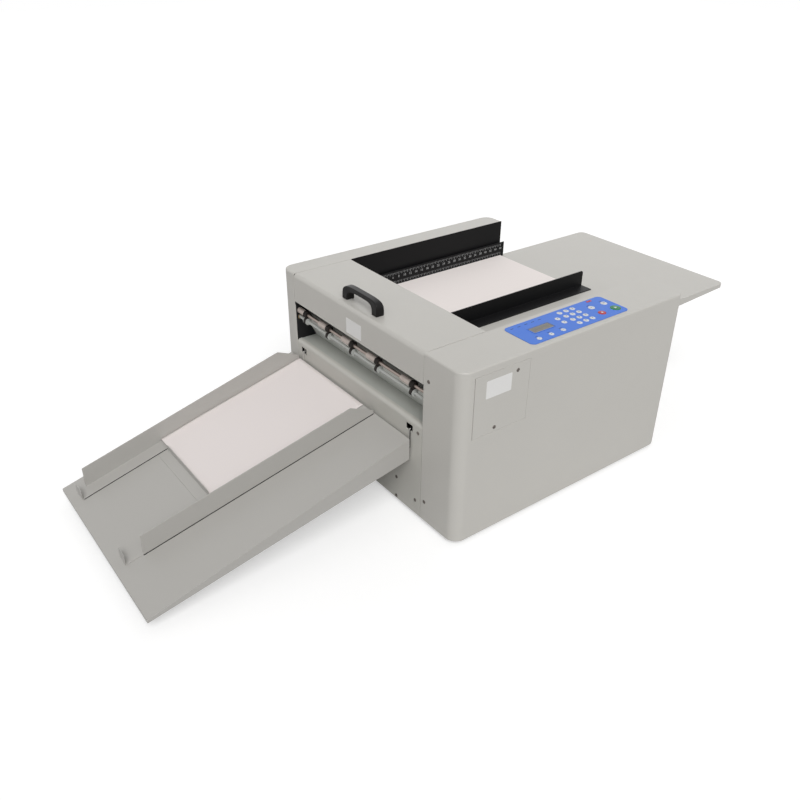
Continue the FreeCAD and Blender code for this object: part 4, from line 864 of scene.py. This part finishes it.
paperSheet = {"across": 40, "along": 60, "thickness": 0.0005, "rise": 0.0055, "wedge": 0.12,
              "tip": -0.005, "sag": 0.002, "sagEnd": 1.2, "crowding": 1.6, "rest": 0.0017,
              "curlEnd": 0.7, "curl": 1.5}


def deliveredPiece(values):
    # A sheet that lies flat at the machine, with its near corner bent down to the tray
    first, last = low["delivered_sheet"], high["delivered_sheet"]
    length = last.x - first.x
    mesh = bmesh.new()
    grid = []
    for along in range(values["along"] + 1):
        u = 1 - (1 - along / values["along"]) ** values["crowding"]
        row = []
        for across in range(values["across"] + 1):
            v = across / values["across"]
            x = last.x - length * u
            past = max(0, u - 1 + values["wedge"] * (1 - v)) / values["wedge"]
            lift = values["rest"] + values["tip"] * past ** 2
            lift += values["rise"] * min(1, u / values["curlEnd"]) ** values["curl"]
            lift += values["sag"] * math.sin(math.pi * v) * \
                math.sin(math.pi * min(1, u * values["sagEnd"]))
            row.append(mesh.verts.new((x, first.y + (last.y - first.y) * v,
                                       traySurface(x, lift))))
        grid.append(row)
    for one, two in zip(grid, grid[1:]):
        for across in range(values["across"]):
            mesh.faces.new((one[across], two[across], two[across + 1], one[across + 1]))
    for face in mesh.faces:
        face.smooth = True
    obj = clearMesh(mesh, "creasedSheet")
    thick = obj.modifiers.new("thickness", "SOLIDIFY")
    thick.thickness = values["thickness"]
    thick.offset = 0
    return obj


settle(deliveredPiece(paperSheet), "sheet", "delivered_sheet", True)

pile = {"sheets": 9, "shift": 0.0006, "gap": 0.00004, "seed": 4}


def pilePiece(values):
    first, last = low["feed_sheets"], high["feed_sheets"]
    size = last - first
    thick = size.z / values["sheets"]
    leaf = tablet("leaf", size, thick - values["gap"])
    middle = (first + last) / 2
    rows = []
    for number in range(values["sheets"]):
        drift = math.sin(number * 2.4 + values["seed"]) * values["shift"]
        slide = math.cos(number * 1.7 + values["seed"]) * values["shift"] * 0.3
        rows.append(((middle.x + drift - values["shift"], middle.y + slide,
                      first.z + thick * number),))
    return strewn("waitingPile", leaf, rows, "stack")


settle(pilePiece(pile), "stack", "feed_sheets", True)
print("sheets")

tyre = {"radius": 0.0092, "bore": 0.00406, "width": 0.012, "groove": 0.0006, "grooves": 4,
        "chamfer": 0.0008, "margin": 0.002}
sleeve = {**tyre, "groove": 0.00005, "thickness": 0.0001, "seat": 0.0002}
hub = {"radius": 0.0078, "inner": 0.0069, "width": 0.034, "chamfer": 0.0006, "beside": 0.0072}


def grooved(values, radius, inner):
    # The outline of a ring with fine grooves round its tread
    half, chamfer = values["width"] / 2, values["chamfer"]
    profile = [(inner, -half), (radius - chamfer, -half), (radius, -half + chamfer)]
    pitch = (values["width"] - 2 * values["margin"]) / values["grooves"]
    for number in range(values["grooves"]):
        start = -half + values["margin"] + pitch * number
        profile += [(radius, start + pitch * 0.3), (radius - values["groove"], start + pitch * 0.4),
                    (radius - values["groove"], start + pitch * 0.6), (radius, start + pitch * 0.7)]
    profile += [(radius, half - chamfer), (radius - chamfer, half), (inner, half), (inner, -half)]
    return profile


def wheelMiddles(node):
    # The middles of the separate rings of a CAD node along its shaft
    mesh = nodes[node].data
    sides = sorted({round((nodes[node].matrix_world @ vertex.co).y, 5) for vertex in mesh.vertices})
    return [(sides[step] + sides[step + 1]) / 2 for step in range(0, len(sides), 2)]


def wheelRow(name, ring, turning, places, key, node, replacing=False):
    # One ring at each place along the axis of a round CAD node
    axis = (low[turning] + high[turning]) / 2
    rows = [((axis.x, y, axis.z),) for y in places]
    settle(strewn(name, ring, rows, key), key, node, replacing)


middles = wheelMiddles("exit_tyres")
wheelRow("exitTyres", spun("tyreRing", grooved(tyre, tyre["radius"], tyre["bore"]), "Y", 40),
         "exit_tyres", middles, "tyre", "exit_tyres", True)
inner, outer, wide, chamfer = (hub[key] for key in ("inner", "radius", "width", "chamfer"))
collar = spun("hubRing", [(inner, 0), (outer - chamfer, 0), (outer, chamfer),
                          (outer, wide - chamfer), (outer - chamfer, wide), (inner, wide),
                          (inner, 0)], "Y", 40)
wheelRow("exitHubs", collar, "exit_tyres", [y + hub["beside"] for y in middles], "hub",
         "exit_nip_shaft")
rodRadius = (high["exit_drive_shaft"].x - low["exit_drive_shaft"].x) / 2
wheelRow("driveSleeves", spun("sleeveRing", grooved(sleeve, rodRadius + sleeve["thickness"],
                                                    rodRadius - sleeve["seat"]), "Y", 40),
         "exit_drive_shaft", middles, "tyre", "exit_drive_shaft")
print("exit wheels")

suction = {"radius": 0.003, "pitch": 0.013, "rows": (-0.012, 0, 0.012), "depth": 0.00015,
           "margin": 0.017, "belts": (-0.1, 0, 0.1), "seat": 0.0002, "bottom": 0.00002,
           "segments": 14}


def suctionHoles(values):
    # Dark recessed rings on the upper run of each belt, painted shade for the belt's holes
    first, last = low["suction_belts"], high["suction_belts"]
    radius, depth = values["radius"], values["depth"]
    paintedShade = spun("holeRing", [(0, values["bottom"]), (radius * 0.8, values["bottom"]),
                             (radius * 0.82, depth), (radius, depth), (radius, -values["seat"])],
                segments=values["segments"])
    beltMiddle = (first.y + last.y) / 2
    rows = []
    for belt in values["belts"]:
        for across in values["rows"]:
            x = first.x + values["margin"] + (values["pitch"] / 2 if across == 0 else 0)
            while x < last.x - values["margin"]:
                rows.append(((x, beltMiddle + belt + across, last.z),))
                x += values["pitch"]
    settle(strewn("suctionHoles", paintedShade, rows, "paintedShade"), "paintedShade", "suction_belts")


suctionHoles(suction)

rocker = {"line": 0.0011, "size": 0.0048, "foot": (0.00147, 0.0035), "head": (0.00013, 0.0075),
          "thickness": 0.0002, "ringPlace": (0.00295, 0.0045), "ringRise": 0.0001}


def rockerMarks(values):
    # A bar and a ring on the two halves of the rocker
    front = high["power_switch"].x
    middle = (low["power_switch"] + high["power_switch"]) / 2
    half = values["line"] / 2
    (foot, footRise), (head, headRise) = values["foot"], values["head"]
    bar = plate("bar", [(front - foot, middle.y - half, middle.z + footRise),
                        (front - foot, middle.y + half, middle.z + footRise),
                        (front - head, middle.y + half, middle.z + headRise),
                        (front - head, middle.y - half, middle.z + headRise)],
                values["thickness"], "X")
    outer, rise = values["size"] / 2, values["ringRise"]
    inner = outer - values["line"] * 0.7
    ringMark = spun("ring", [(outer, 0), (outer, rise), (inner, rise), (inner, 0)], segments=24)
    sunk, drop = values["ringPlace"]
    ringMark.data.transform(Matrix.Translation((front - sunk, middle.y, middle.z - drop))
                            @ Matrix.Rotation(math.pi / 2, 4, "Y"))
    meshes = [bar.data, ringMark.data]
    bpy.data.objects.remove(bar)
    bpy.data.objects.remove(ringMark)
    settle(joined("rockerMarks", meshes), "white", "power_switch")


rockerMarks(rocker)
print("small marks")

strip = {"height": 0.0012, "width": 0.0013, "inset": 0.004}


def farStrip(values):
    # A dark strip along the foot of the far guide, painted shadow for the dark line that shows at
    # its edge
    first, last = low["far_tray_guide"], high["far_tray_guide"]
    start, end = first.x + values["inset"], last.x - values["inset"]
    corners = ((end, 0), (start, 0), (start, values["height"]), (end, values["height"]))
    outline = [(x, first.y - values["width"], traySurface(x, rise)) for x, rise in corners]
    settle(plate("farGuideStrip", outline, values["width"], "Y"), "paintedShade", "far_tray_guide")


farStrip(strip)

shadowLine = {"turn": 2.7, "width": 0.0012, "height": 0.0013, "lift": 0.00005}


def nearSeal(values):
    # A dark bead along the outer foot of the near guide, painted shadow for its contact line; the
    # guide stands a little turned
    upright = Vector((-trayTop["slope"], 0, 1)).normalized()
    outward = Matrix.Rotation(-math.radians(values["turn"]), 3, upright) @ Vector((0, -1, 0))
    guide = nodes["near_tray_guide"]
    places = [guide.matrix_world @ vertex.co for vertex in guide.data.vertices]
    face = max(place.dot(outward) for place in places)
    outer = [place for place in places if place.dot(outward) > face - 0.0003]
    lowest = min(place.z - traySurface(place.x) for place in outer)
    foot = [place for place in outer if place.z - traySurface(place.x) < lowest + 0.0005]
    ends = (max(foot, key=lambda place: place.x), min(foot, key=lambda place: place.x))
    section = ((0, 0), (1, 0), (1, 0.4), (0.6, 1), (0, 1))
    mesh = bmesh.new()
    rings = [[mesh.verts.new(end + outward * (values["width"] * out)
                             + Vector((0, 0, values["lift"] + values["height"] * up)))
              for out, up in section] for end in ends]
    bridge(mesh, rings)
    mesh.faces.new(rings[0][::-1])
    mesh.faces.new(rings[1])
    settle(clearMesh(mesh, "nearGuideSeal"), "paintedShade", "near_tray_guide")


nearSeal(shadowLine)
print("guide strips")

camera = {"place": (-1.1561, -1.3975, 1.2186), "heading": -37.04, "down": 30.81, "roll": 0.57,
          "focalPixels": 812.6, "imageWidth": 800, "sensor": 36.0}


def aimCamera(values):
    heading, down, roll = (math.radians(values[key]) for key in ("heading", "down", "roll"))
    forward = Vector((-math.sin(heading) * math.cos(down), math.cos(heading) * math.cos(down),
                      -math.sin(down)))
    side = forward.cross(Vector((0, 0, 1))).normalized()
    above = side.cross(forward)
    right = side * math.cos(roll) + above * math.sin(roll)
    up = above * math.cos(roll) - side * math.sin(roll)
    data = bpy.data.cameras.new("photoCamera")
    data.sensor_width = values["sensor"]
    data.lens = values["focalPixels"] / values["imageWidth"] * values["sensor"]
    data.clip_end = 50
    obj = bpy.data.objects.new("photoCamera", data)
    turn = Matrix((right, up, -forward)).transposed().to_4x4()
    obj.matrix_world = Matrix.Translation(Vector(values["place"])) @ turn
    bpy.context.scene.collection.objects.link(obj)
    bpy.context.scene.camera = obj


aimCamera(camera)

lamps = {"sky": 0.36, "high": (1.99, (-0.20, -0.37, 0.46), 40), "fill": (0.25, (0.7, 0.5, 0.5), 60)}


def addSun(name, strength, toward, spread):
    data = bpy.data.lights.new(name, "SUN")
    data.energy = strength
    data.angle = math.radians(spread)
    obj = bpy.data.objects.new(name, data)
    obj.rotation_euler = Vector(toward).to_track_quat("Z", "Y").to_euler()
    bpy.context.scene.collection.objects.link(obj)


addSun("highLamp", *lamps["high"])
addSun("fillLamp", *lamps["fill"])


def seenWhite(tree, sink, plain):
    # White to the camera and to mirror rays, plain to every other ray
    path = tree.nodes.new("ShaderNodeLightPath")
    seen = mathNode(tree, "MAXIMUM", path.outputs["Is Camera Ray"], path.outputs["Is Glossy Ray"])
    seen = mathNode(tree, "MAXIMUM", seen, path.outputs["Is Transmission Ray"])
    pick = tree.nodes.new("ShaderNodeMixShader")
    white = tree.nodes.new("ShaderNodeBackground")
    white.inputs["Color"].default_value = (1, 1, 1, 1)
    tree.links.new(seen, pick.inputs[0])
    tree.links.new(plain, pick.inputs[1])
    tree.links.new(white.outputs[0], pick.inputs[2])
    tree.links.new(pick.outputs[0], sink)


def softSky(strength):
    world = bpy.data.worlds.new("softSky")
    bpy.context.scene.world = world
    world.use_nodes = True
    sky = world.node_tree.nodes["Background"]
    sky.inputs["Color"].default_value = (1, 0.995, 0.985, 1)
    sky.inputs["Strength"].default_value = strength
    seenWhite(world.node_tree, world.node_tree.nodes["World Output"].inputs["Surface"],
              sky.outputs[0])


softSky(lamps["sky"])

ground = {"reach": 12.0, "grey": 0.70, "roughness": 0.9, "glow": 0.42}


def plainFloor(values):
    reach = values["reach"]
    data = bpy.data.meshes.new("floor")
    data.from_pydata([(x, y, 0) for x, y in rectangle((-reach, -reach), (reach, reach))],
                     [], [(0, 1, 2, 3)])
    floor = bpy.data.objects.new("floor", data)
    bpy.context.scene.collection.objects.link(floor)
    material = bpy.data.materials.new("floorWhite")
    material.use_nodes = True
    tree = material.node_tree
    shader = tree.nodes["Principled BSDF"]
    shader.inputs["Base Color"].default_value = (*[values["grey"]] * 3, 1)
    shader.inputs["Roughness"].default_value = values["roughness"]
    shader.inputs["Emission Color"].default_value = (1, 1, 1, 1)
    path = tree.nodes.new("ShaderNodeLightPath")
    tree.links.new(mathNode(tree, "MULTIPLY", path.outputs["Is Camera Ray"], values["glow"]),
                   shader.inputs["Emission Strength"])
    dress(floor, material)


plainFloor(ground)

bpy.context.scene.view_settings.view_transform = "Standard"
print("camera, light and floor")
